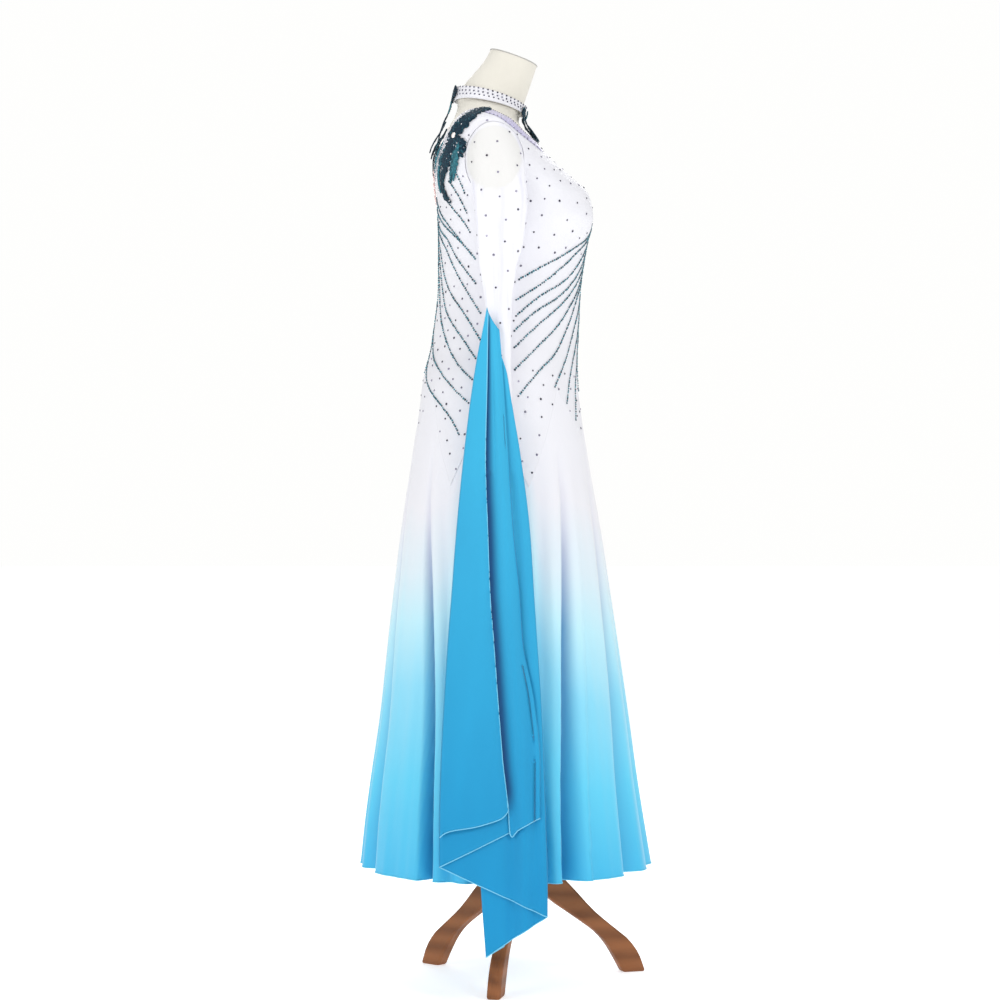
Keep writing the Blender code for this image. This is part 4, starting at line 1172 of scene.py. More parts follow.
class DRESS_OT_sleeves(bpy.types.Operator):
    """The two sheer sleeves, from the armhole to the cuff under the float"""

    bl_idname = "dance_dress.sleeves"
    bl_label = "Sleeves"

    def execute(self, context):
        mesh = sheer_mesh()
        rows = SLEEVE_CAP_STEPS + SLEEVE_DOWN_STEPS + 1
        for name, side in (("right", 1), ("left", -1)):

            def place(i, j):
                point = sleeve_point(-90 + 360 * (i % SLEEVE_SIDES) / SLEEVE_SIDES, rows - 1 - j)
                point.x *= side
                return point

            def cover(i, j):
                """0 over the arm plate, which shows through a little, and 1 on the rest."""
                point = place(i, j)
                off = math.hypot((point.y - PLATE.y) / PLATE.half_y, (point.z - PLATE.z) / PLATE.half_z)
                return smooth(0.96, 1.06, off)

            obj = add_grid(f"sleeve_{name}_sheer", SLEEVE_SIDES + 1, rows, place, mesh, flip=side > 0, wrap=True,
                           marks={"cover": cover})
            thicken(obj, sizes().sheer_thickness)
            keep(obj, "sheer_mesh", f"sleeve_{name}")
            declare_sheet(obj)
        return {"FINISHED"}


# ---------------------------------------------------------------- floats

# How each layer's hem runs, as height against y, read off the photograph.
LAYER_HEMS = {
    0: Curve((-0.0050, 0.0, 0.0085, 0.032, 0.052, 0.091, 0.1026, 0.1092),
             (0.3300, 0.3200, 0.3116, 0.3032, 0.2980, 0.2915, 0.2870, 0.2810)),
    1: Curve((-0.0553, -0.0167, -0.0095, -0.0060, -0.0020, 0.020, 0.060, 0.095, 0.1092),
             (0.3120, 0.2905, 0.2815, 0.2860, 0.3380, 0.3450, 0.3250, 0.3000, 0.2810)),
}
FLOAT_TIP = 1.170
LAYERS = len(FLOAT_EDGES) - 1
FOLD_ROUND = 0.05
Pleat = namedtuple("Pleat", "low high rise tint")
# Soft folds that fan from the float's tip, at shares of the way from the outer hem, 0, to the front
# fold, 1: each swings from its low share to its high one, and a negative rise is a groove.
# A pleat's tint is the painted shade that it adds to the float.
PLEATS = (
    Pleat(-0.14, 0.34, -1.0, 0.0), Pleat(0.22, 0.66, 0.75, 0.0), Pleat(0.56, 0.84, -0.40, 0.10),
    Pleat(0.72, 1.04, 0.35, 0.0),
)


def pleat_share(y, z):
    """How far forward of the outer hem a place is: 1 at the front fold."""
    outer, front = FLOAT_CURVES["outer"].at(z), FLOAT_CURVES["front_2"].at(z)
    return (outer - y) / (outer - front)


def pleat_sum(share, field):
    """What the pleats that pass this share add up to."""
    return sum(getattr(p, field) * math.sin(math.pi * (share - p.low) / (p.high - p.low)) ** 2
               for p in PLEATS if p.low < share < p.high)


def pleat_rise(y, z):
    """How far the soft folds lift the float outwards, the same for all its layers."""
    fall = FLOAT_TIP - z
    rise = pleat_sum(pleat_share(y, z), "rise")
    sway = waver(y * 16, 0.0, z * 5.5)
    return 0.0052 * smooth(0.0, 0.20, fall) * rise + 0.0030 * smooth(0.05, 0.5, fall) * sway


def pleat_shade(y, z):
    """Painted shade in the folds, from 0 to 1: the groove beside the outer hem is darkest at the hem."""
    share = pleat_share(y, z)
    groove = smooth(0.30, 0.04, share) * smooth(-0.12, -0.02, share) * smooth(0.31, 0.36, z)
    shades = pleat_sum(share, "tint") * smooth(0.20, 0.45, z)
    return min(1.0, groove + shades) * smooth(1.165, 1.12, z)


def float_place(place, row_share):
    """The layer, the share across it, the y and the height of a place on the folded float."""
    layer = min(int(place), LAYERS - 1)
    share = place - layer
    a, b = FLOAT_EDGES[layer], FLOAT_EDGES[layer + 1]
    hem = lerp(a.hem, b.hem, share)
    if layer in LAYER_HEMS:
        hem = LAYER_HEMS[layer].at(lerp(fold_line(a, hem), fold_line(b, hem), share))
    z = lerp(lerp(a.top, b.top, share), hem, row_share)
    return layer, share, lerp(fold_line(a, z), fold_line(b, z), share), z


def fold_line(edge, z):
    """Where a fold of the float runs; the two front ones round off into the cloth at their tops."""
    y = FLOAT_CURVES[edge.line].at(z)
    if edge.line == "front_2":
        y = lerp(FLOAT_CURVES["front_1"].at(z), y, math.sqrt(smooth(edge.top, edge.top - 0.035, z)))
    return y


def float_point(place, row_share):
    """A point of the folded float on the wearer's left: place counts its layers from the outer edge."""
    layer, share, y, z = float_place(place, row_share)
    depth = LAYERS - 1 - layer
    if share < FOLD_ROUND and layer > 0:
        depth += 0.5 * (1 - share / FOLD_ROUND) ** 2
    if share > 1 - FOLD_ROUND and layer < LAYERS - 1:
        depth -= 0.5 * ((share - 1 + FOLD_ROUND) / FOLD_ROUND) ** 2
    fall = (FLOAT_FOLDS[0].z - z) / (FLOAT_FOLDS[0].z - FLOAT_FOLDS[-1].z)
    step = lerp(LAYER_STEP_TOP, LAYER_STEP_HEM, fall)
    base = FLOAT_CURVES["base"].at(z)
    if z > SLEEVE[-1].z:
        base = max(base, SLEEVE_CURVES["x"].at(z) + SLEEVE_CURVES["half_x"].at(z) + FLOAT_SEAT)
    lift = pleat_rise(y, z)
    if z > SLEEVE[-1].z - 0.02:
        lift = max(0.0, lift)
    point = Vector((base + FLOAT_WALL / 2 + depth * step + lift, y, z))
    if layer == 0:
        off_edge = y - FLOAT_CURVES["outer"].at(z)
        reach = 0.008 + 0.010 * (0.5 + 0.5 * waver(3, 0, z * 14))
        pucker = math.exp(-off_edge / reach) * smooth(1.00, 0.85, z)
        slant = z + 0.8 * off_edge
        crease = waver(y * 30, 5, slant * 62) + 0.5 * waver(y * 60, 9, slant * 140)
        point.x += 0.0022 * pucker * crease
        point.y += 0.0003 * pucker * waver(0, 3, z * 70)
    return point


def layer_places(steps):
    """Places across all layers, close together where the cloth turns."""
    ends = {0.0, *TURN_SHARES, *(1 - share for share in TURN_SHARES)}
    shares = sorted(ends | {0.05 + 0.90 * n / steps for n in range(steps + 1)})
    slit = sorted(set(shares) | {0.66 + 0.005 * n for n in range(16)})
    return [
        layer + share for layer in range(LAYERS) for share in (slit if layer == 1 else shares) if share < 0.9999
    ] + [LAYERS]


FLOAT_ROWS = 150
FLOAT_CLOTH = 0.0009
TURN_SHARES = (0.012, 0.025, 0.038, 0.05)


class DRESS_OT_floats(bpy.types.Operator):
    """The zigzag chiffon floats that hang from the arms, with their rolled hems"""

    bl_idname = "dance_dress.floats"
    bl_label = "Arm floats"

    def execute(self, context):
        cloth = float_chiffon()
        thread = rolled_hem("float_hem_thread", colours().hem_blue)
        places = layer_places(26)
        for name, side in (("right", -1), ("left", 1)):

            def place(i, j):
                point = float_point(places[i], 1 - j / (FLOAT_ROWS - 1))
                point.x *= side
                return point

            # Painted shade for the folds; the outer layer gets none.
            def fold(i, j):
                layer, _, y, z = float_place(places[i], 1 - j / (FLOAT_ROWS - 1))
                return 0.0 if layer == 0 else pleat_shade(y, z)

            obj = add_grid(f"float_{name}_drape", len(places), FLOAT_ROWS, place, cloth, flip=side < 0,
                           marks={"fold": fold})
            thicken(obj, FLOAT_CLOTH, 0.0)
            # The outermost edge runs down, then the hem zigzags inwards, then the inner edge runs up.
            edge = [place(0, j) for j in range(FLOAT_ROWS - 1, 0, -1)]
            edge += [place(i, 0) for i in range(len(places))]
            edge += [place(len(places) - 1, j) for j in range(1, FLOAT_ROWS)]
            hem = add_tube(f"float_{name}_rolled_hem", edge, sizes().hem_cord, thread)
            keep(hem, "float_chiffon")
            keep(obj, "float_chiffon", f"float_{name}")
            declare_sheet(obj)
        return {"FINISHED"}


# ---------------------------------------------------------------- collar, straps and trimming


def collar_point(angle, z, out=0.0):
    """The collar arches up at the sides."""
    stand = BODY_CLEARANCE + CAD_WALL + COLLAR_STAND * math.cos(math.radians(angle)) ** 2
    point = on_body(angle, z, stand + out)
    point.z += COLLAR_ARCH * math.sin(math.radians(angle)) ** 2
    return point


def collar_height(angle, share):
    """A body level from the collar's lower edge, which dips in front, to its upper edge."""
    return lerp(COLLAR_LOW - 0.0025 * smooth(90, 0, abs(turned(angle))), COLLAR_HIGH, share)


COLLAR_ARCH = 0.0045
COLLAR_WALL = 0.0012
COLLAR_STONE_ROWS = (0.33, 0.63, 0.93)
COLLAR_STONE_PITCH = 0.0086


def strap_surface(angle, z, out=0.0):
    """Where a leaf lies between the collar's foot and the bodice's neckline."""
    foot = 1.40 if abs(turned(angle)) > 90 else 1.446
    climb = unit((z - foot) / (COLLAR_LOW - foot))
    stand = (BODY_CLEARANCE + CAD_WALL + COLLAR_STAND) * climb * climb
    return on_body(angle, z, stand + out)


def free_surface(angle, z, out=0.0):
    """Where a leaf lies whose lower tip stands off the back."""
    return on_body(angle, z, 0.0015 + FREE_LEAF_LIFT * smooth(1.486, 1.436, z) + out)


LACE_WALL = 0.0010


def leaf_line(leaf, surface):
    """The places along a leaf's middle and their points on the surface."""
    places = smooth_path(leaf.path, 8)
    return places, [surface(*place) for place in places]


def crossways(surface, place, ahead):
    """The direction on the surface that crosses the way ahead."""
    return outward(surface, *place).cross(ahead).normalized()


def add_leaf(leaf, surface, lift, flip, rng, stock):
    """Adds one pointed, toothed leaf to the stock's lists; flip puts it on the wearer's left."""
    places, line = leaf_line(leaf, surface)
    rows, columns = len(line), 7
    start = len(stock["vertices"])
    phase = rng.uniform(0, 6.28)
    for n, point in enumerate(line):
        s = n / (rows - 1)
        ahead = (line[min(n + 1, rows - 1)] - line[max(n - 1, 0)]).normalized()
        across = crossways(surface, places[n], ahead)
        half = leaf.width / 2 * math.sin(math.pi * min(1.0, 0.04 + 0.96 * s)) ** 0.75
        for k in range(columns):
            v = 2 * k / (columns - 1) - 1
            tooth = 1 + 0.24 * math.sin(s * 38 + phase + (1.6 if v > 0 else 0)) * abs(v)
            place = body_place(point + across * (half * v * tooth))
            height = lift + 0.0010 * (1 - v * v) + 0.0006 * (0.5 + 0.5 * math.sin(s * 60 + abs(v) * 5 + phase))
            vertex = surface(*place, height)
            if flip:
                vertex.x = -vertex.x
            stock["vertices"].append(vertex)
            stock["tint"].append(unit(leaf.tone + 0.25 * waver(n * 0.4, v * 2, phase)))
    for n in range(rows - 1):
        for k in range(columns - 1):
            a = start + n * columns + k
            face = (a, a + 1, a + columns + 1, a + columns)
            stock["faces"].append(face[::-1] if flip else face)


def new_stock():
    return {"vertices": [], "faces": [], "tint": []}


def add_lace(name, stock, lace, node, cut):
    """The leaves in the stock as one laid piece."""
    obj = add_mesh(name, stock["vertices"], stock["faces"], lace, attributes={"tint": stock["tint"]})
    thicken(obj, LACE_WALL)
    keep(obj, "teal_applique", node)
    obj["cut"] = cut
    declare_sheet(obj)


def leaf_sequins(leaves, surface, lift, density, rng):
    """Sequins over the leaves, each tinted a little off its leaf's tone."""
    placings = []
    for leaf in leaves:
        places, line = leaf_line(leaf, surface)
        length = sum((b - a).length for a, b in zip(line, line[1:]))
        for _ in range(int(length * leaf.width * density)):
            s = rng.uniform(0.03, 0.97)
            n = min(int(s * (len(line) - 1)), len(line) - 2)
            ahead = (line[n + 1] - line[n]).normalized()
            across = crossways(surface, places[n], ahead)
            half = leaf.width / 2 * math.sin(math.pi * s) ** 0.75 * 0.95
            flat = line[n].lerp(line[n + 1], s * (len(line) - 1) - n) + across * half * rng.uniform(-1, 1)
            place = body_place(flat)
            tilt = Vector((rng.gauss(0, 0.28), rng.gauss(0, 0.28), rng.gauss(0, 0.28)))
            facing = (outward(body_point, *place) + tilt).normalized()
            tint = unit(leaf.tone + rng.gauss(0.0, 0.22))
            placings.append(Placing(surface(*place, lift), facing, rng.uniform(0, 6.28),
                                    sizes().sequin_radius * rng.uniform(0.7, 1.15), tint))
    return placings


def line_beads(lines, lift, pitch, radius, rng, tint, spread):
    """Dark and light beads by turns along smooth lines, with small slips in pitch and side."""
    placings = []
    for pairs in lines:
        line = [on_cloth(*place) for place in smooth_path(pairs, 24)]
        for n, point in enumerate(polyline_steps(line, pitch)):
            place = body_place(point + Vector((0, rng.uniform(-1, 1), rng.uniform(-1, 1))) * radius * 0.3)
            normal = outward(body_point, *place)
            placings.append(Placing(on_cloth(*place, lift), normal, rng.uniform(0, 6.28),
                                    radius * rng.uniform(0.8, 1.1),
                                    unit(tint + spread * (1 if n % 2 else -1) + rng.gauss(0, 0.12))))
    return placings


class DRESS_OT_collar(bpy.types.Operator):
    """The white collar band and its three rows of small stones"""

    bl_idname = "dance_dress.collar"
    bl_label = "Collar"

    def execute(self, context):
        satin = white_stretch("collar_satin_cloth")
        columns, rows = 145, 15

        def place(i, j):
            angle = 2.5 * (i % (columns - 1))
            edge = COLLAR_WALL * (1 - (2 * j / (rows - 1) - 1) ** 6)
            return collar_point(angle, collar_height(angle, j / (rows - 1)), edge - COLLAR_WALL)

        band = add_grid("collar_satin_band", columns, rows, place, satin, flip=True, wrap=True)
        thicken(band, COLLAR_WALL)
        keep(band, "white_stretch", "collar_band")
        declare_sheet(band)
        rng = random.Random(5)
        stone = sparkle("collar_stones_finish", colours().stone_dark, (0.20, 0.20, 0.30), 0.25, 0.2)
        placings = []
        for share in COLLAR_STONE_ROWS:
            ring = [collar_point(a, collar_height(a, share), 0.0001) for a in range(0, 361, 2)]
            for point in polyline_steps(ring, COLLAR_STONE_PITCH):
                normal = outward(body_point, *body_place(point))
                placings.append(Placing(point, normal, rng.uniform(0, 6), 0.0017, rng.random() * 0.6))
        keep(add_scatter("collar_stones", GEM, placings, stone), "teal_applique")
        return {"FINISHED"}


STRAP_CUT = (0.06, 0.12)
SHOULDER_CUT = (0.10, 0.16)


class DRESS_OT_straps(bpy.types.Operator):
    """The lace leaves that join the collar to the bodice in front and behind"""

    bl_idname = "dance_dress.straps"
    bl_label = "Neck straps"

    def execute(self, context):
        lace = lace_thread("teal_lace_thread")
        shine = sequin_shine("strap_sequins_finish")
        for name, leaves, node, seed in (
            ("front_strap", FRONT_STRAP_LEAVES, "applique_front_strap", 3),
            ("back_strap", BACK_STRAP_LEAVES, "applique_back_strap", 4),
        ):
            rng = random.Random(seed)
            stock = new_stock()
            for n, leaf in enumerate(leaves):
                add_leaf(leaf, strap_surface, 0.0015 + 0.0005 * n, False, rng, stock)
            if name == "back_strap":
                for n, leaf in enumerate(FREE_LEAVES):
                    for flip in (False, True):
                        add_leaf(leaf, free_surface, 0.0008 + 0.0005 * n, flip, rng, stock)
            add_lace(name + "_lace", stock, lace, node, STRAP_CUT)
            sequins = leaf_sequins(leaves, strap_surface, 0.0034, 50000, rng)
            keep(add_scatter(name + "_sequins", SEQUIN, sequins, shine), "teal_applique")
        return {"FINISHED"}


LOOSE_STONES = 70


class DRESS_OT_shoulder_leaves(bpy.types.Operator):
    """The teal leaves, sequins and stones along the back opening and over the shoulders"""

    bl_idname = "dance_dress.shoulder_leaves"
    bl_label = "Shoulder leaves"

    def execute(self, context):
        lace = lace_thread("shoulder_lace_thread")
        shine = sequin_shine("shoulder_sequins_finish")
        silver = sparkle("silver_stones_finish", (0.30, 0.33, 0.40), (0.92, 0.90, 0.92), 0.08, 0.7)
        pink = sparkle("large_crystals_finish", (0.80, 0.48, 0.46), (0.95, 0.90, 0.86), 0.05, 0.35)
        rng = random.Random(11)
        for side, flip in (("right", False), ("left", True)):
            stock = new_stock()
            for n, leaf in enumerate(SHOULDER_LEAVES):
                add_leaf(leaf, on_cloth, 0.0006 + 0.0004 * (n % 4), flip, rng, stock)
            add_lace(f"shoulder_leaves_{side}", stock, lace, f"applique_back_{side}", SHOULDER_CUT)
        sequins = leaf_sequins(SHOULDER_LEAVES, on_cloth, 0.0027, 55000, rng)
        keep(add_scatter("shoulder_sequins", SEQUIN, sequins + mirrored(sequins), shine), "teal_applique")
        stones = line_beads((SILVER_LINE,), 0.0012, 0.0044, 0.0018, rng, 0.7, 0.25)
        for _ in range(LOOSE_STONES):
            leaf = rng.choice(SHOULDER_LEAVES)
            angle, z = rng.choice(smooth_path(leaf.path, 8))
            place = (angle + rng.uniform(-3, 3), z + rng.uniform(-0.004, 0.004))
            stones.append(Placing(on_cloth(*place, 0.003), outward(body_point, *place), rng.uniform(0, 6),
                                  rng.uniform(0.0011, 0.0019), rng.random()))
        keep(add_scatter("shoulder_stones", GEM, stones + mirrored(stones), silver), "teal_applique")
        large = [
            Placing(on_cloth(angle, z, 0.0022), outward(body_point, angle, z), 0.3, size, tint)
            for angle, z, size, tint in LARGE_CRYSTALS
        ]
        keep(add_scatter("shoulder_crystals", CRYSTAL, large + mirrored(large), pink, 20), "teal_applique")
        return {"FINISHED"}


# The lower edge of the lilac strip of painted shade, as (angle, height) from the centre to the shoulder.
STRIP_LOW = ((33, 1.4320), (42, 1.4440), (52, 1.4570), (61, 1.4700), (75, 1.4870), (92, 1.4950))
STRIP_FOOT, STRIP_TOP = 5.3, 9.95
STRIP_WALL = 0.0006


class DRESS_OT_neckline(bpy.types.Operator):
    """A lilac sheet of painted shade along the front neckline, where its edge turns up and away, with rows of tiny
    dark stones on its edges
    """

    bl_idname = "dance_dress.neckline"
    bl_label = "Neckline strip"

    def execute(self, context):
        # The strip is painted shade: the neckline's edge turns up and away from the light, and this lilac sheet
        # stands in for its shade.
        lilac = Finish("neckline_strip_cloth", colours().neckline_shade_colour, 0.35, Sheen_Weight=0.4)
        fleck = lilac.noise(lilac.where(), 380, 2)
        base = colours().neckline_shade_colour
        lilac.colour(lilac.mix(lilac.span(fleck, 0.35, 0.7), shade(base, 1.25), shade(base, 0.75)))
        lilac.bump(fleck, 0.4, 0.0004)
        stone = sparkle("neckline_stones_finish", colours().stone_dark, (0.20, 0.18, 0.30), 0.25, 0.2)
        rng = random.Random(21)
        columns, rows = 7, 81
        lower = smooth_path(STRIP_LOW, 16)
        placings = []
        for side, flip in (("right", 1), ("left", -1)):

            def place(i, j, out=STRIP_WALL):
                climb = lerp(STRIP_FOOT, STRIP_TOP, j / (rows - 1))
                upper = (NECK_CURVES[-1]["angle"].at(climb), NECK_CURVES[-1]["z"].at(climb))
                angle, z = (lerp(a, b, i / (columns - 1)) for a, b in zip(upper, lower[j]))
                point = on_cloth(angle, z, out)
                point.x *= flip
                return point

            obj = add_grid(f"neckline_strip_{side}", columns, rows, place, lilac.material, flip=flip > 0)
            thicken(obj, STRIP_WALL, 1.0)
            keep(obj, "white_stretch")
            declare_sheet(obj)
            if flip > 0:
                for i in (0, columns - 1):
                    edge = [place(i, j, 2 * STRIP_WALL) for j in range(rows)]
                    for point in polyline_steps(edge, 0.0054 if i == 0 else 0.009):
                        where = body_place(point)
                        placings.append(Placing(point, outward(body_point, *where), rng.uniform(0, 6), 0.0011,
                                                rng.random() * 0.5))
        keep(add_scatter("neckline_stones", GEM, placings + mirrored(placings), stone), "teal_applique")
        return {"FINISHED"}


class DRESS_OT_bead_lines(bpy.types.Operator):
    """The sprays of bead lines on the bodice's front and back"""

    bl_idname = "dance_dress.bead_lines"
    bl_label = "Bead lines"

    def execute(self, context):
        size = sizes()
        finish = sparkle("line_beads_finish", colours().teal_dark, colours().teal_light, 0.3, 0.1)
        for name, lines, seed, centre, low, high in (
            ("bead_lines_front", FRONT_LINES, 31, 0, 1.025, 1.335),
            ("bead_lines_back", BACK_LINES, 32, 180, 1.055, 1.345),
        ):
            rng = random.Random(seed)
            placings = line_beads(lines, 0.0, size.bead_pitch, size.bead_radius, rng, 0.30, 0.28)
            placings += mirrored(placings)
            rows = [((centre + off, high), (centre + off, (low + high) / 2), (centre + off, low))
                    for off in (-1.4, 1.4)]
            placings += line_beads(rows, 0.0, size.bead_pitch, size.bead_radius, rng, 0.6, 0.25)
            keep(add_scatter(name, BEAD, placings, finish), "teal_applique")
        return {"FINISHED"}


BEAD_MARGIN = 0.0075
BODICE_TRIES, SLEEVE_TRIES = 9000, 2500


def scatter_places(count, spacing, sample, taken, rng):
    """Random places at least a spacing apart and a little off what is taken already."""
    kept = []
    for _ in range(count):
        found = sample()
        if found is None:
            continue
        point = found[0]
        if all((point - other[0]).length > spacing for other in kept) and all(
            (point - bead).length > BEAD_MARGIN for bead in taken
        ):
            kept.append(found)
    return kept


class DRESS_OT_scattered_stones(bpy.types.Operator):
    """The single stones scattered over bodice, hip points and sleeves"""

    bl_idname = "dance_dress.scattered_stones"
    bl_label = "Scattered stones"

    def execute(self, context):
        size = sizes()
        finish = sparkle("scattered_stones_finish", colours().stone_dark, colours().stone_light, 0.25, 0.25)
        rng = random.Random(41)
        taken = []
        for pairs in FRONT_LINES + BACK_LINES:
            line = [on_cloth(a, z) for a, z in smooth_path(pairs, 12)]
            taken += polyline_steps(line, 0.006)

        def on_bodice():
            side = rng.choice((-1, 1))
            share, rise = rng.uniform(0.03, 0.97), rng.uniform(0.03, 2.97)
            angle, z = bodice_place(share, rise, side)
            if side < 0 and angle < 82 and 1.06 < z < 1.255:
                return None
            if side > 0 and rise > 2 and share < 0.5:
                return None
            return on_cloth(angle, z), outward(body_point, angle, z)

        def on_sleeve():
            row = rng.uniform(5, 100)
            turn = rng.uniform(-70, 250)
            point = sleeve_point(turn, row)
            across = sleeve_point(turn + 2, row) - sleeve_point(turn - 2, row)
            up = sleeve_point(turn, row - 0.5) - sleeve_point(turn, row + 0.5)
            normal = across.cross(up).normalized()
            away = point - Vector((-0.14, SLEEVE_CURVES["y"].at(point.z), point.z - 0.004))
            return point, normal if normal.dot(away) > 0 else -normal

        placings = []
        found = scatter_places(BODICE_TRIES, size.stone_spacing, on_bodice, taken, rng)
        found += scatter_places(SLEEVE_TRIES, size.stone_spacing * 1.15, on_sleeve, [], rng)
        for point, normal in found:
            placings.append(Placing(point, normal, rng.uniform(0, 6.28), size.stone_radius * rng.uniform(0.75, 1.05),
                                    rng.random() ** 2.2))
        keep(add_scatter("scattered_stones", GEM, placings + mirrored(placings), finish), "teal_applique")
        return {"FINISHED"}


# ---------------------------------------------------------------- form and stand


ARM_PLATE_PROUD = 0.0008
NECK_BACK = Curve((1.528, 1.545, 1.570, 1.595, TOP_HEIGHT), (0.0, 0.0050, 0.0080, 0.0065, 0.0040))


def form_point(angle, level):
    """The form's cover at a body level, under the dress."""
    if level < WAIST_HEIGHT - 0.001:
        return ring_point(FORM_CURVES, angle, level)
    z = level - FORM_DROP if level > FITTED_TOP + FORM_DROP else min(level, FITTED_TOP)
    point = on_body(angle, level, -FORM_INSET_CURVES["depth"].at(z))
    point.z -= FORM_DROPS.at(z)
    point.y -= NECK_BACK.at(level) * smooth(95, 170, abs(turned(angle)))
    point.x = max(-ARM_PLATE_X, min(ARM_PLATE_X, point.x))
    return point


class DRESS_OT_form(bpy.types.Operator):
    """The covered dress form with its neck cap"""

    bl_idname = "dance_dress.form"
    bl_label = "Dress form"

    def execute(self, context):
        cover = form_cover()
        levels = [lerp(FORM_HIP[0].z, 1.09, n / 30) for n in range(31)]
        levels += [lerp(WAIST_HEIGHT, TOP_HEIGHT, n / 110) for n in range(111)]
        columns, rows = 97, len(levels)

        def place(i, j):
            return form_point(turned(360 * (i % (columns - 1)) / (columns - 1)), levels[j])

        obj = add_grid("form_cover", columns, rows, place, cover, flip=True, wrap=True)
        del obj["cut"]
        bm = bmesh.new()
        bm.from_mesh(obj.data)
        bmesh.ops.holes_fill(bm, edges=[edge for edge in bm.edges if edge.is_boundary], sides=0)
        bm.to_mesh(obj.data)
        bm.free()
        obj.data.set_sharp_from_angle(angle=math.radians(50))
        keep(obj, "form_cover", "form_torso")

        self.make_plates(cover)
        grey = Finish("neck_cap_rim", colours().cap_grey, 0.4)
        speck = grey.noise(grey.where(), 300, 2)
        grey.colour(grey.mix(grey.span(speck, 0.4, 0.7), colours().cap_grey, shade(colours().cap_grey, 1.2)))
        rim = [form_point(turned(3 * n), TOP_HEIGHT) for n in range(120)]
        keep(add_tube("neck_cap_rim", rim, 0.0011, grey.material, 8, True), "form_cover")
        return {"FINISHED"}

    def make_plates(self, cover):
        """The two oval arm plates, a little proud of the form under the sleeves."""
        for name, side in (("right", -1), ("left", 1)):
            bpy.ops.object.select_all(action="DESELECT")
            bpy.ops.mesh.primitive_cylinder_add(
                vertices=96, radius=1, depth=1, location=(side * ARM_PLATE_X, PLATE.y, PLATE.z),
                rotation=(0, math.pi / 2, 0))
            plate = bpy.context.object
            plate.name = f"arm_plate_{name}"
            plate.scale = (PLATE.half_z, PLATE.half_y, ARM_PLATE_PROUD * 2)
            bpy.ops.object.transform_apply(location=True, rotation=True, scale=True)
            edge = plate.modifiers.new("Rounded edge", "BEVEL")
            edge.width = ARM_PLATE_PROUD * 0.6
            edge.segments = 3
            plate.data.set_sharp_from_angle(angle=math.radians(50))
            plate.data.materials.append(cover)
            keep(plate, "form_cover")


class DRESS_OT_stand(bpy.types.Operator):
    """Walnut for the pole, the hub and the three legs, whose CAD solids stay"""

    bl_idname = "dance_dress.stand"
    bl_label = "Wooden stand"

    def execute(self, context):
        upright = wood("walnut_upright", 0, True)
        finishes = {"stand_pole": upright, "stand_hub": upright}
        for number, turn in enumerate(LEG_TURNS, start=1):
            finishes[f"stand_leg_{number}"] = wood(f"walnut_leg_{number}", turn)
        for name, finish in finishes.items():
            node = frame["nodes"][name]
            for part in [node, *node.children_recursive]:
                if part.type == "MESH":
                    part.data.materials.clear()
                    part.data.materials.append(finish)
        return {"FINISHED"}


# Each light's name, place, aim, width and power.
LIGHTS = (
    ("key_light", (-3.4, -2.6, 3.2), (0, 0, 0.9), 1.6, 54),
    ("fill_light", (-3.0, 3.0, 2.2), (0, 0, 0.9), 2.4, 40),
    ("top_light", (0, 0, 4.5), (0, 0, 0), 3.5, 48),
    ("far_light", (3.5, 0, 2.6), (0, 0, 0.9), 2.6, 48),
)
WORLD_LIGHT = 0.47
FLOOR_GLOW = 0.58
CAMERA_PLACE = (-4.85, 0.0105, 0.835)
CAMERA_LENS = 99.77


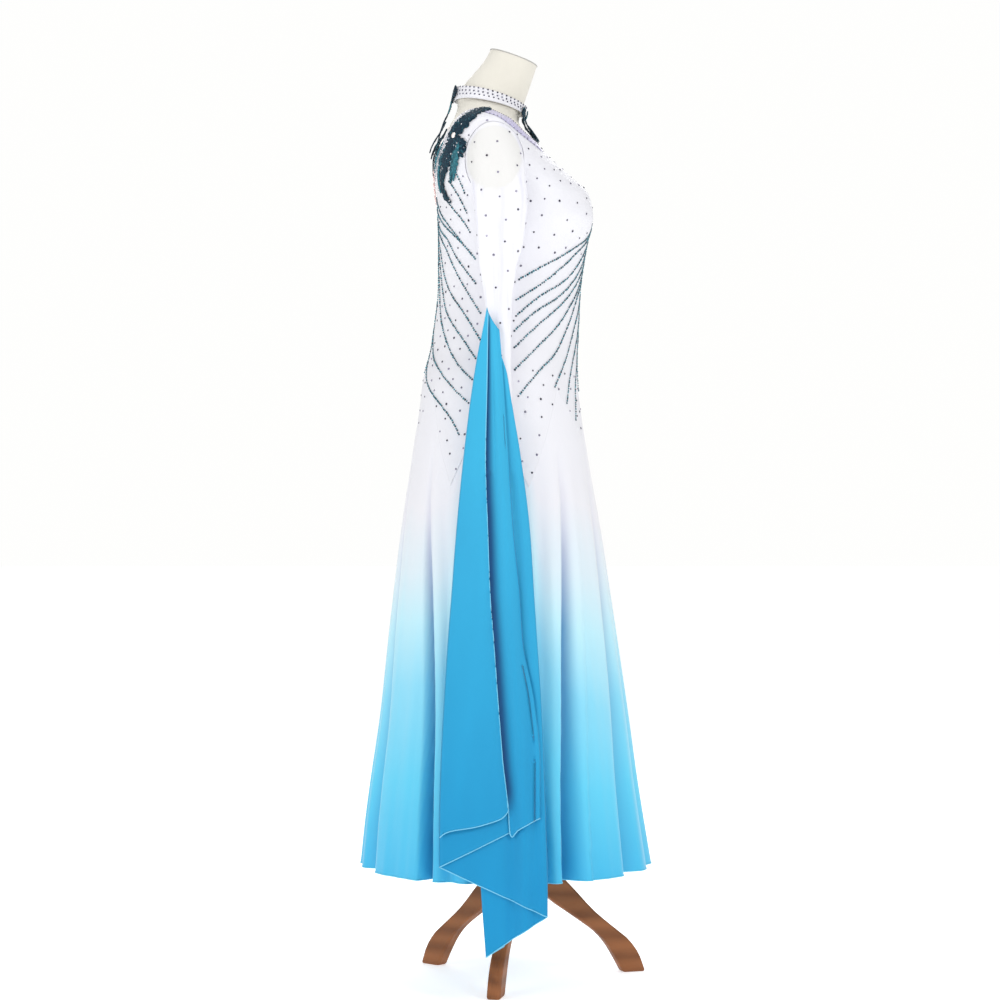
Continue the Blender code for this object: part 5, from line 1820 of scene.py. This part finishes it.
class DRESS_OT_stage(bpy.types.Operator):
    """The pale floor, the soft lights and the camera"""

    bl_idname = "dance_dress.stage"
    bl_label = "Stage"

    def execute(self, context):
        scene = context.scene
        bpy.ops.object.select_all(action="DESELECT")
        bpy.ops.mesh.primitive_plane_add(size=60, location=(0, 0, 0))
        floor = context.object
        floor.name = "pale_floor"
        pale = Finish("pale_floor_finish", (0.93, 0.93, 0.925), 0.9, Emission_Color=(1.0, 1.0, 0.995, 1.0),
                      Emission_Strength=FLOOR_GLOW)
        floor.data.materials.append(pale.material)

        for name, location, target, size, power in LIGHTS:
            data = bpy.data.lights.new(name, "AREA")
            data.shape = "DISK"
            data.size = size
            data.energy = power
            light = bpy.data.objects.new(name, data)
            light.location = location
            aim = Vector(target) - Vector(location)
            light.rotation_euler = aim.to_track_quat("-Z", "Y").to_euler()
            scene.collection.objects.link(light)

        world = bpy.data.worlds.new("white_studio")
        world.use_nodes = True
        back = world.node_tree.nodes["Background"]
        back.inputs["Color"].default_value = (1.0, 1.0, 0.995, 1)
        back.inputs["Strength"].default_value = WORLD_LIGHT
        shown = world.node_tree.nodes.new("ShaderNodeBackground")
        shown.inputs["Color"].default_value = (0.995, 0.995, 0.985, 1)
        shown.inputs["Strength"].default_value = 1.0
        seen = world.node_tree.nodes.new("ShaderNodeLightPath")
        mix = world.node_tree.nodes.new("ShaderNodeMixShader")
        links = world.node_tree.links
        links.new(seen.outputs["Is Camera Ray"], mix.inputs["Fac"])
        links.new(back.outputs["Background"], mix.inputs[1])
        links.new(shown.outputs["Background"], mix.inputs[2])
        links.new(mix.outputs["Shader"], world.node_tree.nodes["World Output"].inputs["Surface"])
        scene.world = world
        scene.view_settings.view_transform = "Standard"

        data = bpy.data.cameras.new("camera")
        data.lens = CAMERA_LENS
        data.sensor_width = 36
        data.clip_end = 100
        camera = bpy.data.objects.new("camera", data)
        camera.location = CAMERA_PLACE
        camera.rotation_euler = (math.radians(90), 0, math.radians(-90))
        scene.collection.objects.link(camera)
        scene.camera = camera
        return {"FINISHED"}


OPERATORS = (
    DRESS_OT_stage, DRESS_OT_form, DRESS_OT_stand, DRESS_OT_bodice, DRESS_OT_skirt, DRESS_OT_sleeves,
    DRESS_OT_floats, DRESS_OT_collar, DRESS_OT_straps, DRESS_OT_shoulder_leaves, DRESS_OT_neckline,
    DRESS_OT_bead_lines, DRESS_OT_scattered_stones,
)


class VIEW3D_PT_dance_dress(bpy.types.Panel):
    """Sizes, colours and pieces of the ballroom dress"""

    bl_idname = "VIEW3D_PT_dance_dress"
    bl_label = "Ballroom dress"
    bl_space_type = "VIEW_3D"
    bl_region_type = "UI"
    bl_category = "Dance Dress"

    def draw(self, context):
        for group in (context.scene.dance_dress_sizes, context.scene.dance_dress_colours):
            box = self.layout.box()
            for name in group.__annotations__:
                box.prop(group, name)
        for operator in OPERATORS:
            self.layout.operator(operator.bl_idname)


CLASSES = (DanceDressSizes, DanceDressColours, *OPERATORS, VIEW3D_PT_dance_dress)


def register():
    for cls in CLASSES:
        bpy.utils.register_class(cls)
    bpy.types.Scene.dance_dress_sizes = bpy.props.PointerProperty(type=DanceDressSizes)
    bpy.types.Scene.dance_dress_colours = bpy.props.PointerProperty(type=DanceDressColours)


def unregister():
    del bpy.types.Scene.dance_dress_colours
    del bpy.types.Scene.dance_dress_sizes
    for cls in reversed(CLASSES):
        bpy.utils.unregister_class(cls)


def main():
    register()
    for operator in OPERATORS:
        group, name = operator.bl_idname.split(".")
        getattr(getattr(bpy.ops, group), name)()
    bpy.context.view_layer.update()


if __name__ == "__main__":
    main()
